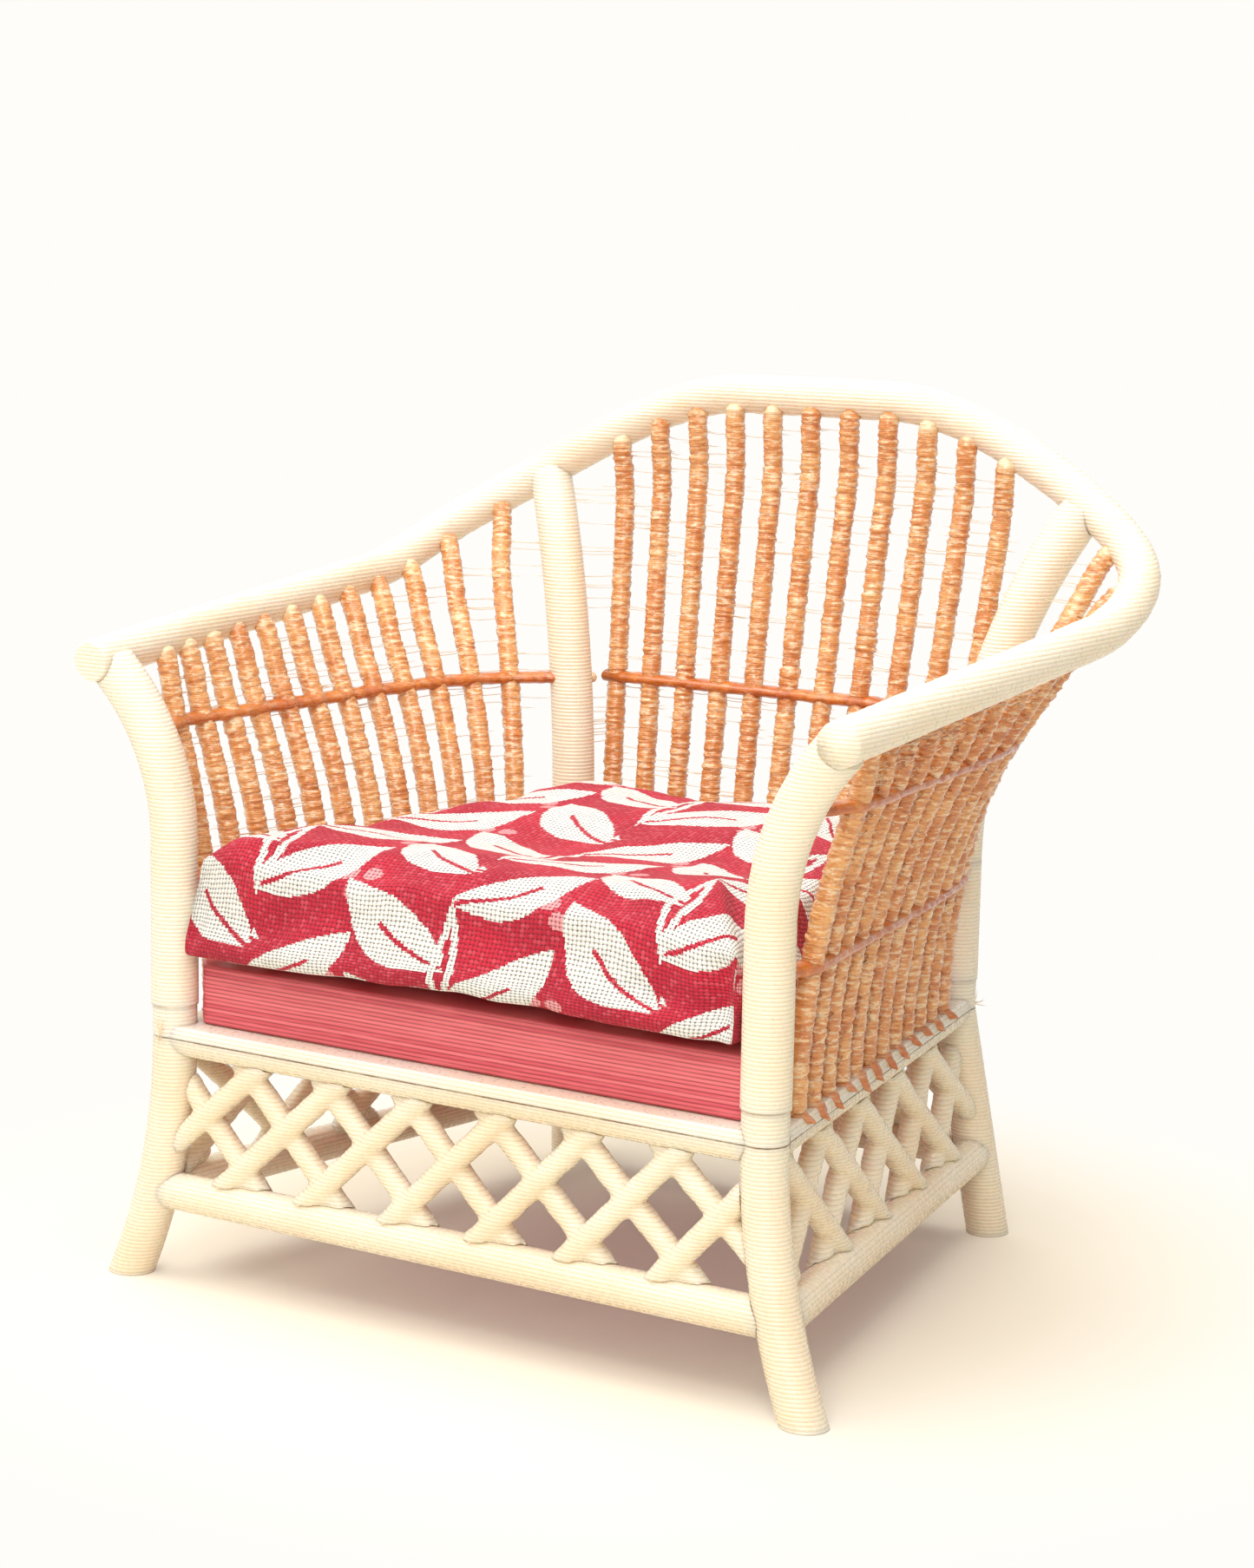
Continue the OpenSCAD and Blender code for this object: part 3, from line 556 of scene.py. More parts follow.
def cushion_cotton():
    """Plain weave cotton, crimson with an off-white trailing leaf and small pink dots, with painted shade in
    the open gaps and between the threads.
    """
    f = Finish("crimson leaf cotton")
    t = f.tree
    cloth = put(t, "ShaderNodeUVMap", uv_map="cloth").outputs[0]
    threads, yarn, gap, each = plain_weave(t, cloth)
    leaves, dots = leaf_print(t, threads)
    fade = speckle(t, cloth, scale=0.16)
    crimson = tint(t, step_up(t, fade, 0.35, 0.65), CRIMSON, DEEP_CRIMSON)
    crimson = tint(t, step_up(t, each, 0.55, 1.0, 0.0, 0.32), crimson, CRIMSON_FLECK)
    pink = tint(t, 0.8, crimson, PINK)
    white = tint(t, each, LEAF_WHITE, LEAF_GREY)
    body = tint(t, leaves, tint(t, dots, crimson, pink), white)
    # Painted shade in the open gaps and along the low edges of each thread
    deep = tint(t, leaves, CRIMSON_GAP_PAINTED_SHADE, WHITE_GAP_PAINTED_SHADE)
    body = tint(t, times(t, gap, plus(t, 0.55, times(t, each, 0.45))), body, deep)
    body = tint(t, step_up(t, yarn, 0.2, 0.9, 0.28, 0.0), body, deep)
    f.set(Base_Color=body, Roughness=0.9, Sheen_Weight=0.06, Sheen_Roughness=0.5)
    f.bump([(yarn, 0.12, 0.8), (speckle(t, cloth, scale=9.0), 0.05, 0.4)])
    return f.material


def fine_string():
    """Pale hairs of plastic drawn out between the spindles."""
    f = Finish("drawn plastic hair")
    t = f.tree
    stain = step_up(t, speckle(t, f.place, scale=300.0), 0.4, 0.6)
    body = tint(t, stain, colour(254, 249, 238), colour(244, 220, 184))
    f.set(Base_Color=body, Roughness=0.4, IOR=1.46)
    return f.material


base_ivory = printed_plastic("ivory base", pale=colour(252, 240, 220), deep=colour(247, 230, 204),
                             gloss=0.14, wear=0.12, glue_heights=(SEAM_Z,))
frame_cream = printed_plastic("cream frame", pale=colour(253, 245, 229), deep=colour(250, 237, 213),
                              gloss=0.24, wear=0.4, glue_heights=(SEAM_Z, COLLAR_TOP))
amber_cane = stained_cane("amber spindle", pale=colour(238, 178, 112), mid=colour(222, 146, 80),
                          deep=colour(178, 92, 38), gloss=0.16, rough=1.0)
burnt_binding = stained_cane("burnt orange rod", pale=colour(214, 124, 40), mid=colour(196, 100, 26),
                             deep=colour(140, 62, 12), gloss=0.2, rough=0.25)
rose_board = rose_layers()
leaf_cotton = cushion_cotton()
pale_hair = fine_string()


# Canes that follow a route: each cane reads the noise in a lane of its own
LANE_STRIDE, LOUD_LANE = 7.31, 5.0
BLUNT_TIP = 1.02


def cane_tree():
    """Round cane along each route: uneven rings, lumps, a round tip and a drawn-out foot."""
    t = bpy.data.node_groups.new("cane along a route", "GeometryNodeTree")
    sockets = [("Geometry", "NodeSocketGeometry", None), ("Radius", "NodeSocketFloat", 0.8 * MM),
               ("Step", "NodeSocketFloat", 0.12 * MM), ("Sides", "NodeSocketInt", 14),
               ("Ring Pitch", "NodeSocketFloat", 0.5 * MM), ("Ring Depth", "NodeSocketFloat", 0.05),
               ("Lump Size", "NodeSocketFloat", 0.9 * MM), ("Lump Depth", "NodeSocketFloat", 0.05 * MM),
               ("Tip Round", "NodeSocketFloat", 0.6 * MM), ("Foot Size", "NodeSocketFloat", 1.0),
               ("Foot Length", "NodeSocketFloat", 1.0 * MM), ("Seed", "NodeSocketFloat", 0.0),
               ("Material", "NodeSocketMaterial", None)]
    for name, kind, default in sockets:
        socket = t.interface.new_socket(name, in_out="INPUT", socket_type=kind)
        if default is not None:
            socket.default_value = default
    t.interface.new_socket("Geometry", in_out="OUTPUT", socket_type="NodeSocketGeometry")
    at = t.nodes.new("NodeGroupInput").outputs

    def named(name):
        return put(t, "GeometryNodeInputNamedAttribute", {"Name": name}, data_type="FLOAT").outputs[0]

    routes = put(t, "GeometryNodeMeshToCurve", {"Mesh": at["Geometry"]}).outputs[0]
    steps = {"Curve": routes, "Length": at["Step"]}
    routes = put(t, "GeometryNodeResampleCurve", steps, mode="LENGTH").outputs[0]

    # Rings, whose depth comes and goes along the cane
    from_foot, from_tip, number = named("from_foot"), named("from_tip"), named("number")
    lane = plus(t, times(t, number, LANE_STRIDE), at["Seed"])
    run = sums(t, "DIVIDE", from_foot, at["Ring Pitch"])
    ridge = speckle(t, vector(t, run, lane), scale=1.9)
    loud = speckle(t, vector(t, run, lane, LOUD_LANE), scale=0.3, detail=3.0)
    ring = times(t, step_up(t, ridge, 0.3, 0.7, -1.0, 1.0), step_up(t, loud, 0.36, 0.66, 0.1, 1.3))
    girth = plus(t, 1.0, times(t, ring, at["Ring Depth"]))

    # Round tip and drawn-out foot
    back_off = minus(t, 1.0, sums(t, "DIVIDE", from_tip, at["Tip Round"], clamp=True))
    tip = sums(t, "SQRT", minus(t, BLUNT_TIP, times(t, back_off, back_off)))
    near_foot = sums(t, "SMOOTH_MIN", sums(t, "DIVIDE", from_foot, at["Foot Length"]), 1.0, 0.3)
    foot = plus(t, at["Foot Size"], times(t, minus(t, 1.0, at["Foot Size"]), near_foot))
    size = times(t, times(t, girth, at["Radius"]), times(t, tip, foot))
    groove = {"Geometry": routes, "Name": "groove", "Value": ring}
    routes = put(t, "GeometryNodeStoreNamedAttribute", groove, data_type="FLOAT", domain="POINT").outputs[0]
    unit = {"Resolution": at["Sides"], "Radius": 1.0}
    circle = put(t, "GeometryNodeCurvePrimitiveCircle", unit).outputs[0]
    sweep = {"Curve": routes, "Profile Curve": circle, "Scale": size, "Fill Caps": True}
    skin = put(t, "GeometryNodeCurveToMesh", sweep).outputs[0]

    # Lumps
    position = t.nodes.new("GeometryNodeInputPosition").outputs[0]
    normal = t.nodes.new("GeometryNodeInputNormal").outputs[0]
    lump = speckle(t, scaled(t, position, sums(t, "DIVIDE", 1.0, at["Lump Size"])), scale=1.0, detail=3.0)
    rise = times(t, minus(t, lump, 0.5), times(t, at["Lump Depth"], 2.0))
    push = scaled(t, normal, rise)
    skin = put(t, "GeometryNodeSetPosition", {"Geometry": skin, "Offset": push}).outputs[0]
    skin = put(t, "GeometryNodeSetShadeSmooth", {0: skin}).outputs[0]
    skin = put(t, "GeometryNodeRealizeInstances", {0: skin}).outputs[0]
    skin = put(t, "GeometryNodeSetMaterial", {"Geometry": skin, "Material": at["Material"]}).outputs[0]
    put(t, "NodeGroupOutput", {"Geometry": skin})
    return t


CANE_TREE = cane_tree()


def link(obj):
    bpy.context.scene.collection.objects.link(obj)
    return obj


def plain(obj):
    """Turn what the modifiers make into the object's own mesh, and drop the modifiers."""
    graph = bpy.context.evaluated_depsgraph_get()
    mesh = bpy.data.meshes.new_from_object(obj.evaluated_get(graph), depsgraph=graph)
    obj.modifiers.clear()
    obj.data = mesh


def canes(name, routes, material, **sizes):
    """One piece of canes along routes given in millimetres."""
    points, edges, foot, tip, number = [], [], [], [], []
    for k, route in enumerate(routes):
        runs = [0.0]
        for here, there in zip(route, route[1:]):
            runs.append(runs[-1] + (there - here).length)
        edges += [(len(points) + i, len(points) + i + 1) for i in range(len(route) - 1)]
        points += [p * MM for p in route]
        foot += [r * MM for r in runs]
        tip += [(runs[-1] - r) * MM for r in runs]
        number += [float(k)] * len(route)
    mesh = bpy.data.meshes.new(name)
    mesh.from_pydata(points, edges, [])
    for key, values in (("from_foot", foot), ("from_tip", tip), ("number", number)):
        mesh.attributes.new(key, "FLOAT", "POINT").data.foreach_set("value", values)
    obj = link(bpy.data.objects.new(name, mesh))
    modifier = obj.modifiers.new("cane", "NODES")
    modifier.node_group = CANE_TREE
    identifiers = {s.name: s.identifier for s in CANE_TREE.interface.items_tree if s.in_out == "INPUT"}
    for key, value in dict(sizes, Material=material).items():
        modifier[identifiers[key.replace("_", " ")]] = value
    plain(obj)
    coat(obj, material)
    return obj


def coat(piece, material):
    piece.data.materials.clear()
    piece.data.materials.append(material)


def add_piece(obj, body, slot, *nodes):
    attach(obj, body)
    if nodes:
        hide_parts(*nodes)


def make_spindles():
    chance = random.Random(11)
    sizes = dict(Radius=SPINDLE_R * MM, Step=0.11 * MM, Sides=14, Lump_Size=0.45 * MM, Lump_Depth=0.2 * MM,
                 Tip_Round=0.75 * MM, Foot_Size=0.06, Foot_Length=1.7 * MM)
    for side, name in ((LEFT, "left"), (RIGHT, "right")):
        drops = [DRIP_DROP * chance.uniform(*SIDE_DRIP_SHARES) for _ in range(SIDE_SPINDLES)]
        routes = [side_cane_route(side, i, drop) for i, drop in enumerate(drops)]
        piece = canes("spindles_" + name + "_ribbed", routes, amber_cane, Ring_Pitch=0.36 * MM,
                      Ring_Depth=0.07, Seed=3.0 + side, **sizes)
        add_piece(piece, "chair", "spindle_plastic", "spindles_" + name)
    n = BACK_HALF_SPINDLES
    drops = [DRIP_DROP * chance.uniform(*BACK_DRIP_SHARES) for _ in range(2 * n + 1)]
    routes = [back_cane_route(i - n, drop) for i, drop in enumerate(drops)]
    piece = canes("spindles_back_ribbed", routes, amber_cane, Ring_Pitch=0.44 * MM,
                  Ring_Depth=0.09, Seed=9.0, **sizes)
    add_piece(piece, "chair", "spindle_plastic", "spindles_back")


def flatten_out(piece, route, factor):
    """Deepen a level rod across its panel, so that it stands proud of the spindles on both faces."""
    legs = [(a.xy, (b - a).xy) for a, b in zip(route, route[1:])]
    for v in piece.data.vertices:
        p = v.co.xy / MM
        shares = [min(max((p - a).dot(way) / way.length_squared, 0.0), 1.0) for a, way in legs]
        axis = min((a + way * t for (a, way), t in zip(legs, shares)), key=lambda q: (p - q).length)
        p = axis + (p - axis) * factor
        v.co = Vector((p.x * MM, p.y * MM, v.co.z))


def make_bindings():
    for panel in ("left", "right", "back"):
        for level in BINDING_HEIGHTS:
            node = "binding_rod_" + panel + "_" + level
            route = binding_route(panel, level)
            piece = canes(node + "_stained", [route], burnt_binding, Radius=BINDING_R * MM,
                          Step=0.2 * MM, Sides=20, Ring_Pitch=1.6 * MM, Ring_Depth=0.05, Lump_Size=1.3 * MM,
                          Lump_Depth=0.09 * MM, Tip_Round=0.35 * MM, Seed=1.0)
            flatten_out(piece, route, BINDING_PROUD)
            add_piece(piece, "chair", "binding_plastic", node)
    ends = []
    for side in (LEFT, RIGHT):
        for z in BINDING_HEIGHTS.values():
            last = side_axis(side, SIDE_SPINDLES - 1, z)
            post = post_axis(side, "back", z)
            way = (post - last).normalized()
            ends.append([post + way * (POST_R + k) for k in (-END_SUNK, 0.0, END_OUT)])
    piece = canes("binding_rod_ends", ends, burnt_binding, Radius=END_R * MM, Step=0.12 * MM, Sides=12,
                  Tip_Round=0.4 * MM, Ring_Depth=0.0, Lump_Depth=0.06 * MM)
    add_piece(piece, "chair", "binding_plastic")


def make_bent_rail(steps=420):
    route = [rail_at(LEFT, 2 * HALF_RUN * k / steps) for k in range(steps + 1)]
    piece = canes("arm_and_back_rail_round", [route], frame_cream, Radius=HOOP_R * MM, Step=0.3 * MM,
                  Sides=40, Ring_Pitch=9.0 * MM, Ring_Depth=0.012, Lump_Size=0.7 * MM,
                  Lump_Depth=0.1 * MM, Tip_Round=0.3 * MM, Foot_Size=0.9, Foot_Length=0.3 * MM)
    add_piece(piece, "chair", "frame_plastic", "arm_and_back_rail")


# Hairs drawn between neighbours, some whole and some broken off, in millimetres
HAIR_SHARES = (0.0, 0.25, 0.5, 0.75, 1.0)
BROKEN_REACH, HAIR_SWAY, HAIR_SAG, LOOSE_SAG = (0.18, 0.55), (-0.12, 0.12), (-0.3, 0.1), 1.5
HAIR_SLIP, WEB_SLIP, WEB_BROKEN_SHARE = 0.15, 0.1, 0.3
HAIR_TOP_GAP, WEB_TOP_GAP = 2.0, 1.5
SIDE_HAIRS, POST_HAIRS, CORNER_HAIRS, BACK_HAIRS, SIDE_WEBS = 40, 26, 40, 75, 170
TUFT_HAIRS, TUFT_OFF = 7, Vector((1.2, 1.0, 0.2))
TUFT_REACH, TUFT_CURL = ((0.4, 1.1), (-0.2, 0.6), (-0.3, 0.7)), ((-0.5, 0.2), (0, 0.6))
COLLAR_HAIRS, COLLAR_FACE, COLLAR_BOW, COLLAR_ABOVE = 4, 1.75, 0.12, 0.7
COLLAR_RISE, COLLAR_LEAN = (1.2, 2.4), (-1.2, 1.4)
SIDE_HAIR_LOW, BACK_HAIR_LOW, WEB_LOW = 22.0, 24.0, 21.5
POST_HAIR_RANGE, CORNER_HAIR_RANGE = (33.0, 56.0), (34.0, 60.0)
HAIR_R, WEB_R, WEB_SETOUT = 0.038, 0.05, (-0.3, 0.45)


def hair(chance, a, b, broken):
    """A sagging hair from one point to the other, or a loose end of one that broke."""
    reach = chance.uniform(*BROKEN_REACH) if broken else 1.0
    start, end = (a, b) if chance.random() < 0.5 else (b, a)
    sag = Vector([chance.uniform(*spread) for spread in (HAIR_SWAY, HAIR_SWAY, HAIR_SAG)])
    stop = start.lerp(end, reach) + (sag * LOOSE_SAG if broken else Vector())
    return [start.lerp(stop, t) + sag * math.sin(math.pi * t) for t in HAIR_SHARES]


def spindle_hairs(chance):
    """Pale hairs across the gaps between the spindles and the back posts."""
    routes = []

    def span(axis_a, axis_b, low, high, count, broken_share):
        for _ in range(count):
            z = chance.uniform(low, high)
            slip = chance.uniform(-HAIR_SLIP, HAIR_SLIP)
            routes.append(hair(chance, axis_a(z), axis_b(z + slip), chance.random() < broken_share))

    for side in (LEFT, RIGHT):
        for i in range(SIDE_SPINDLES - 1):
            high = min(side_top(side, i).z, side_top(side, i + 1).z) - HAIR_TOP_GAP
            span(lambda z: side_axis(side, i, z), lambda z: side_axis(side, i + 1, z),
                 SIDE_HAIR_LOW, high, SIDE_HAIRS, broken_share=0.35)
        span(lambda z: side_axis(side, SIDE_SPINDLES - 1, z), lambda z: post_axis(side, "back", z),
             *POST_HAIR_RANGE, POST_HAIRS, broken_share=0.5)
        edge = side * BACK_HALF_SPINDLES
        span(lambda z: post_axis(side, "back", z), lambda z: back_axis(edge, z),
             *CORNER_HAIR_RANGE, CORNER_HAIRS, broken_share=0.55)
    for i in range(-BACK_HALF_SPINDLES, BACK_HALF_SPINDLES):
        high = min(back_top(i).z, back_top(i + 1).z) - HAIR_TOP_GAP
        span(lambda z: back_axis(i, z), lambda z: back_axis(i + 1, z),
             BACK_HAIR_LOW, high, BACK_HAIRS, broken_share=0.6)
    return routes


def seam_hairs(chance):
    """A tuft at the back right corner of the seam, and stray hairs on the front left collar."""
    routes = []
    tuft = Vector((BACK_HALF, BACK_Y, SEAM_Z)) + TUFT_OFF
    for _ in range(TUFT_HAIRS):
        way = Vector([chance.uniform(*spread) for spread in TUFT_REACH])
        aside, above = (chance.uniform(*spread) for spread in TUFT_CURL)
        curl = Vector((aside, 0, above))
        routes.append([tuft + way * t + curl * t ** 2 for t in HAIR_SHARES])
    collar = Vector((-FRONT_HALF, FRONT_Y - COLLAR_FACE, SEAM_Z))
    for _ in range(COLLAR_HAIRS):
        rise = chance.uniform(*COLLAR_RISE)
        lean = chance.uniform(*COLLAR_LEAN)
        route = []
        for t in HAIR_SHARES:
            bow = COLLAR_BOW * math.sin(math.pi * t)
            route.append(collar + Vector((lean * (t - 0.5), -bow, rise * (COLLAR_ABOVE - t))))
        routes.append(route)
    return routes


def right_webs(chance):
    """Close amber hairs that nearly fill the gaps of the right side."""
    routes = []
    for i in range(SIDE_SPINDLES - 1):
        high = min(side_top(RIGHT, i).z, side_top(RIGHT, i + 1).z) - WEB_TOP_GAP
        for _ in range(SIDE_WEBS):
            z = chance.uniform(WEB_LOW, high)
            shift = (side_out(RIGHT) * chance.uniform(*WEB_SETOUT)).to_3d()
            a = side_axis(RIGHT, i, z) + shift
            b = side_axis(RIGHT, i + 1, z + chance.uniform(-WEB_SLIP, WEB_SLIP)) + shift
            routes.append(hair(chance, a, b, chance.random() < WEB_BROKEN_SHARE))
    return routes


def make_hairs():
    chance = random.Random(29)
    pale = spindle_hairs(chance) + seam_hairs(chance)
    amber = right_webs(chance)
    thin = dict(Sides=3, Ring_Depth=0.0, Lump_Depth=0.0, Tip_Round=0.2 * MM)
    piece = canes("amber_hairs_right", amber, amber_cane, Radius=WEB_R * MM, Step=0.6 * MM, **thin)
    add_piece(piece, "chair", "spindle_plastic")
    piece = canes("drawn_hairs", pale, pale_hair, Radius=HAIR_R * MM, Step=0.5 * MM, **thin)
    add_piece(piece, "chair", "frame_plastic")


# Lattice with the webbed crossings of a print: each panel's two corners, crossings and bare start
LATTICE_PANELS = {
    "front": ((LEFT, "front"), (RIGHT, "front"), 7, 0.0),
    "back": ((RIGHT, "back"), (LEFT, "back"), 5, 0.0),
    "left": ((LEFT, "front"), (LEFT, "back"), 5, 3.0),
    "right": ((RIGHT, "front"), (RIGHT, "back"), 5, 3.0),
}
LATTICE_TOP_GAP, LATTICE_LOW_GAP = 2.4, 2.7
WEB, CROSSING = (1.75, 0.8, 0.95), (1.15, 1.12, 1.15)
WEB_RISE, WEB_DROP, LEG_ROOM = 0.55, 0.6, 1.0
SKIN_CELL, SKIN_WAVER, SKIN_GRAIN = 0.16, 0.07, 0.035


def lattice_webs(panel):
    """Middle, direction and size of each web at the rails and at the crossings."""
    a, b, crosses, bare_start = LATTICE_PANELS[panel]
    top, low = SEAM_Z - LATTICE_TOP_GAP, LOW_RAIL_Z + LATTICE_LOW_GAP
    webs = []

    def row(z, shift, size, steps):
        pa, pb = leg_axis(*a, z), leg_axis(*b, z)
        first = bare_start / (pb - pa).length
        for step in steps:
            middle = pa.lerp(pb, first + (1 - first) * step / crosses)
            if min((middle - pa).length, (middle - pb).length) > LEG_ROOM:
                webs.append((middle + upright(shift), (pb - pa).normalized(), size))

    row(top, WEB_RISE, WEB, range(crosses + 1))
    row(low, -WEB_DROP, WEB, range(crosses + 1))
    row((top + low) / 2, 0.0, CROSSING, [i + 0.5 for i in range(crosses)])
    return webs


def make_lattice():
    """Each lattice solid with its webs, under one soft skin, worked on in millimetres."""
    for panel in LATTICE_PANELS:
        node = "lattice_" + panel
        bm = bmesh.new()
        bm.from_mesh(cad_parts[node].data)
        bmesh.ops.scale(bm, vec=(1 / MM,) * 3, verts=bm.verts)
        bmesh.ops.remove_doubles(bm, verts=bm.verts, dist=0.002)
        for middle, along, (long, deep, high) in lattice_webs(panel):
            ball = bmesh.ops.create_icosphere(bm, subdivisions=2, radius=1.0)["verts"]
            across = Vector((-along.y, along.x, 0))
            for v in ball:
                p = v.co.copy()
                v.co = middle + along * p.x * long + across * p.y * deep + upright(p.z * high)
        mesh = bpy.data.meshes.new(node + "_soft")
        bm.to_mesh(mesh)
        bm.free()
        piece = link(bpy.data.objects.new(node + "_soft", mesh))
        skin = piece.modifiers.new("one skin", "REMESH")
        skin.mode = "VOXEL"
        skin.voxel_size = SKIN_CELL
        soft = piece.modifiers.new("soft corners", "SMOOTH")
        soft.factor = 0.5
        soft.iterations = 7
        plain(piece)
        places = [v.co.copy() for v in piece.data.vertices]
        outward = [v.vector.copy() for v in piece.data.vertex_normals]
        for v, p, out in zip(piece.data.vertices, places, outward):
            rise = SKIN_WAVER * noise.noise(p * 0.9) + SKIN_GRAIN * noise.noise(p * 3.1)
            v.co = MM * (p + out * rise)
        piece.data.polygons.foreach_set("use_smooth", [True] * len(piece.data.polygons))
        coat(piece, base_ivory)
        add_piece(piece, "chair", "base_plastic", node)


# Seat board as a stack of printed layers: the round of the solid's edge, and the sharper one shown
BOARD_ROUND, BOARD_EDGE = 0.6, 0.22
BOARD_POINT_GAP, LAYER_STEPS = 0.8, 4
GROOVE_DEPTH, LAYER_DRIFT, BOARD_INSET, LAYER_PROUD = 0.05, 0.05, 0.03, (-0.025, 0.02)


def board_outline():
    """Widest outline of the board's solid, as points in millimetres in order round its middle."""
    low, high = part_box("seat_board")
    level = low.z + BOARD_ROUND * MM
    ring = {}
    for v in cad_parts["seat_board"].data.vertices:
        if abs(v.co.z - level) < 0.02 * MM:
            ring[(round(v.co.x, 6), round(v.co.y, 6))] = v.co / MM
    middle_y = (low.y + high.y) / 2 / MM
    corners = sorted((p.xy for p in ring.values()), key=lambda p: math.atan2(p.y - middle_y, p.x))
    points = []
    for here, there in zip(corners, corners[1:] + corners[:1]):
        count = max(int((there - here).length / BOARD_POINT_GAP), 1)
        points += [here.lerp(there, k / count) for k in range(count)]
    return points


def make_board():
    """The board's outline stacked in layers that stand in and out a little."""
    chance = random.Random(5)
    low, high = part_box("seat_board")
    bottom, top = low.z / MM, high.z / MM
    outline = board_outline()
    n = len(outline)
    normals = []
    for i in range(n):
        way = (outline[(i + 1) % n] - outline[i - 1]).normalized()
        normals.append(Vector((way.y, -way.x)))
    layers = round((top - bottom) / BOARD_LAYER)
    proud = [chance.uniform(*LAYER_PROUD) for _ in range(layers)]
    bm = bmesh.new()
    rings = []
    for k in range(layers * LAYER_STEPS + 1):
        z = mix(bottom, top, k / (layers * LAYER_STEPS))
        layer = min(k // LAYER_STEPS, layers - 1)
        groove = GROOVE_DEPTH * (1 - math.sin(math.pi * (k % LAYER_STEPS) / LAYER_STEPS)) ** 2
        edge = min(z - bottom, top - z, BOARD_EDGE) / BOARD_EDGE
        inset = BOARD_EDGE * (1 - math.sqrt(1 - (1 - edge) ** 2)) + groove - proud[layer]
        ring = []
        for p, out in zip(outline, normals):
            drift = LAYER_DRIFT * noise.noise(Vector((p.x * 0.12, p.y * 0.12, layer * 0.7)))
            q = p - out * (inset + BOARD_INSET - drift)
            ring.append(bm.verts.new(Vector((q.x, q.y, z)) * MM))
        rings.append(ring)
    for below, above in zip(rings, rings[1:]):
        for i in range(n):
            j = (i + 1) % n
            bm.faces.new((below[i], below[j], above[j], above[i])).smooth = True
    bm.faces.new(list(reversed(rings[0])))
    bm.faces.new(rings[-1])
    bmesh.ops.recalc_face_normals(bm, faces=bm.faces)
    mesh = bpy.data.meshes.new("seat_board_layers")
    bm.to_mesh(mesh)
    bm.free()
    mesh.materials.append(rose_board)
    piece = link(bpy.data.objects.new("seat_board_layers", mesh))
    add_piece(piece, "board", "board_plastic", "seat_board")


# Cushion: plan, heights and cloth in millimetres, and how far its seams pull in
CUSHION_FRONT_Y, CUSHION_BACK_Y = -27.3, 16.9
CUSHION_FRONT_HALF, CUSHION_BACK_HALF = 25.4, 16.2
CUSHION_BOTTOM, CUSHION_EDGE_TOP = 25.05, 33.9
CUSHION_CELL, UNDERSIDE_CLOTH = 0.85, 200.0
SEAM_PULL_X, SEAM_PULL_Y, CORNER_CUT = 0.03, 0.018, 0.03

# Filling: the cloth is blown up at ten times its size, and no point moves further than the cap
SIM_SCALE, SIM_FRAMES, SIM_CAP, HELD_BAND = 10.0, 20, 1.3, 0.1

# Form of the cushion in use, in millimetres
VALLEY_DEPTH, VALLEY_LENGTH, VALLEY_WIDTH = 1.5, 4.2, 15.0
VALLEY_X, VALLEY_Y, VALLEY_SLANT = 3.0, -9.5, 0.08
BIG_LUMPS, SMALL_LUMPS = 0.55, 0.22
BACK_HUMP, BACK_HUMP_Y, BACK_HUMP_LENGTH = 0.35, 10.0, 6.0
SIDE_RIDGE, SIDE_RIDGE_Y, SIDE_RIDGE_LENGTH = 0.8, -5.0, 9.0
RIDGE_SPAN = (12.0, 20.0)
TOP_BAND, TOP_FULL, LOW_BAND = 2.0, 0.4, 4.0
FRONT_SPAN, LIFT_SPAN = (-19.0, -26.4), (-11.0, -21.0)
RIGHT_DROOP, RIGHT_DROOP_SPAN = 1.9, (14.0, 24.0)
LEFT_DROOP, LEFT_DROOP_SPAN = 1.0, (-19.5, -24.0)
EDGE_LIFT, MIDDLE_LIFT, LIFT_X, LIFT_WIDTH, LIFT_WAVER = 0.9, 0.7, 2.0, 12.0, 0.25
OVERHANG, FRONT_WAVER = 0.6, 0.35
FOLD_DEPTH, FOLD_X, FOLD_Z, FOLD_WIDTH, FOLD_HEIGHT = 0.9, 22.4, 28.6, 0.7, 2.4
FRONT_ROOM, POST_ROOM, POST_FRONT_Y, POST_FACE_Y, POST_BACK_Y = 25.2, 24.0, -27.6, -26.6, -22.0


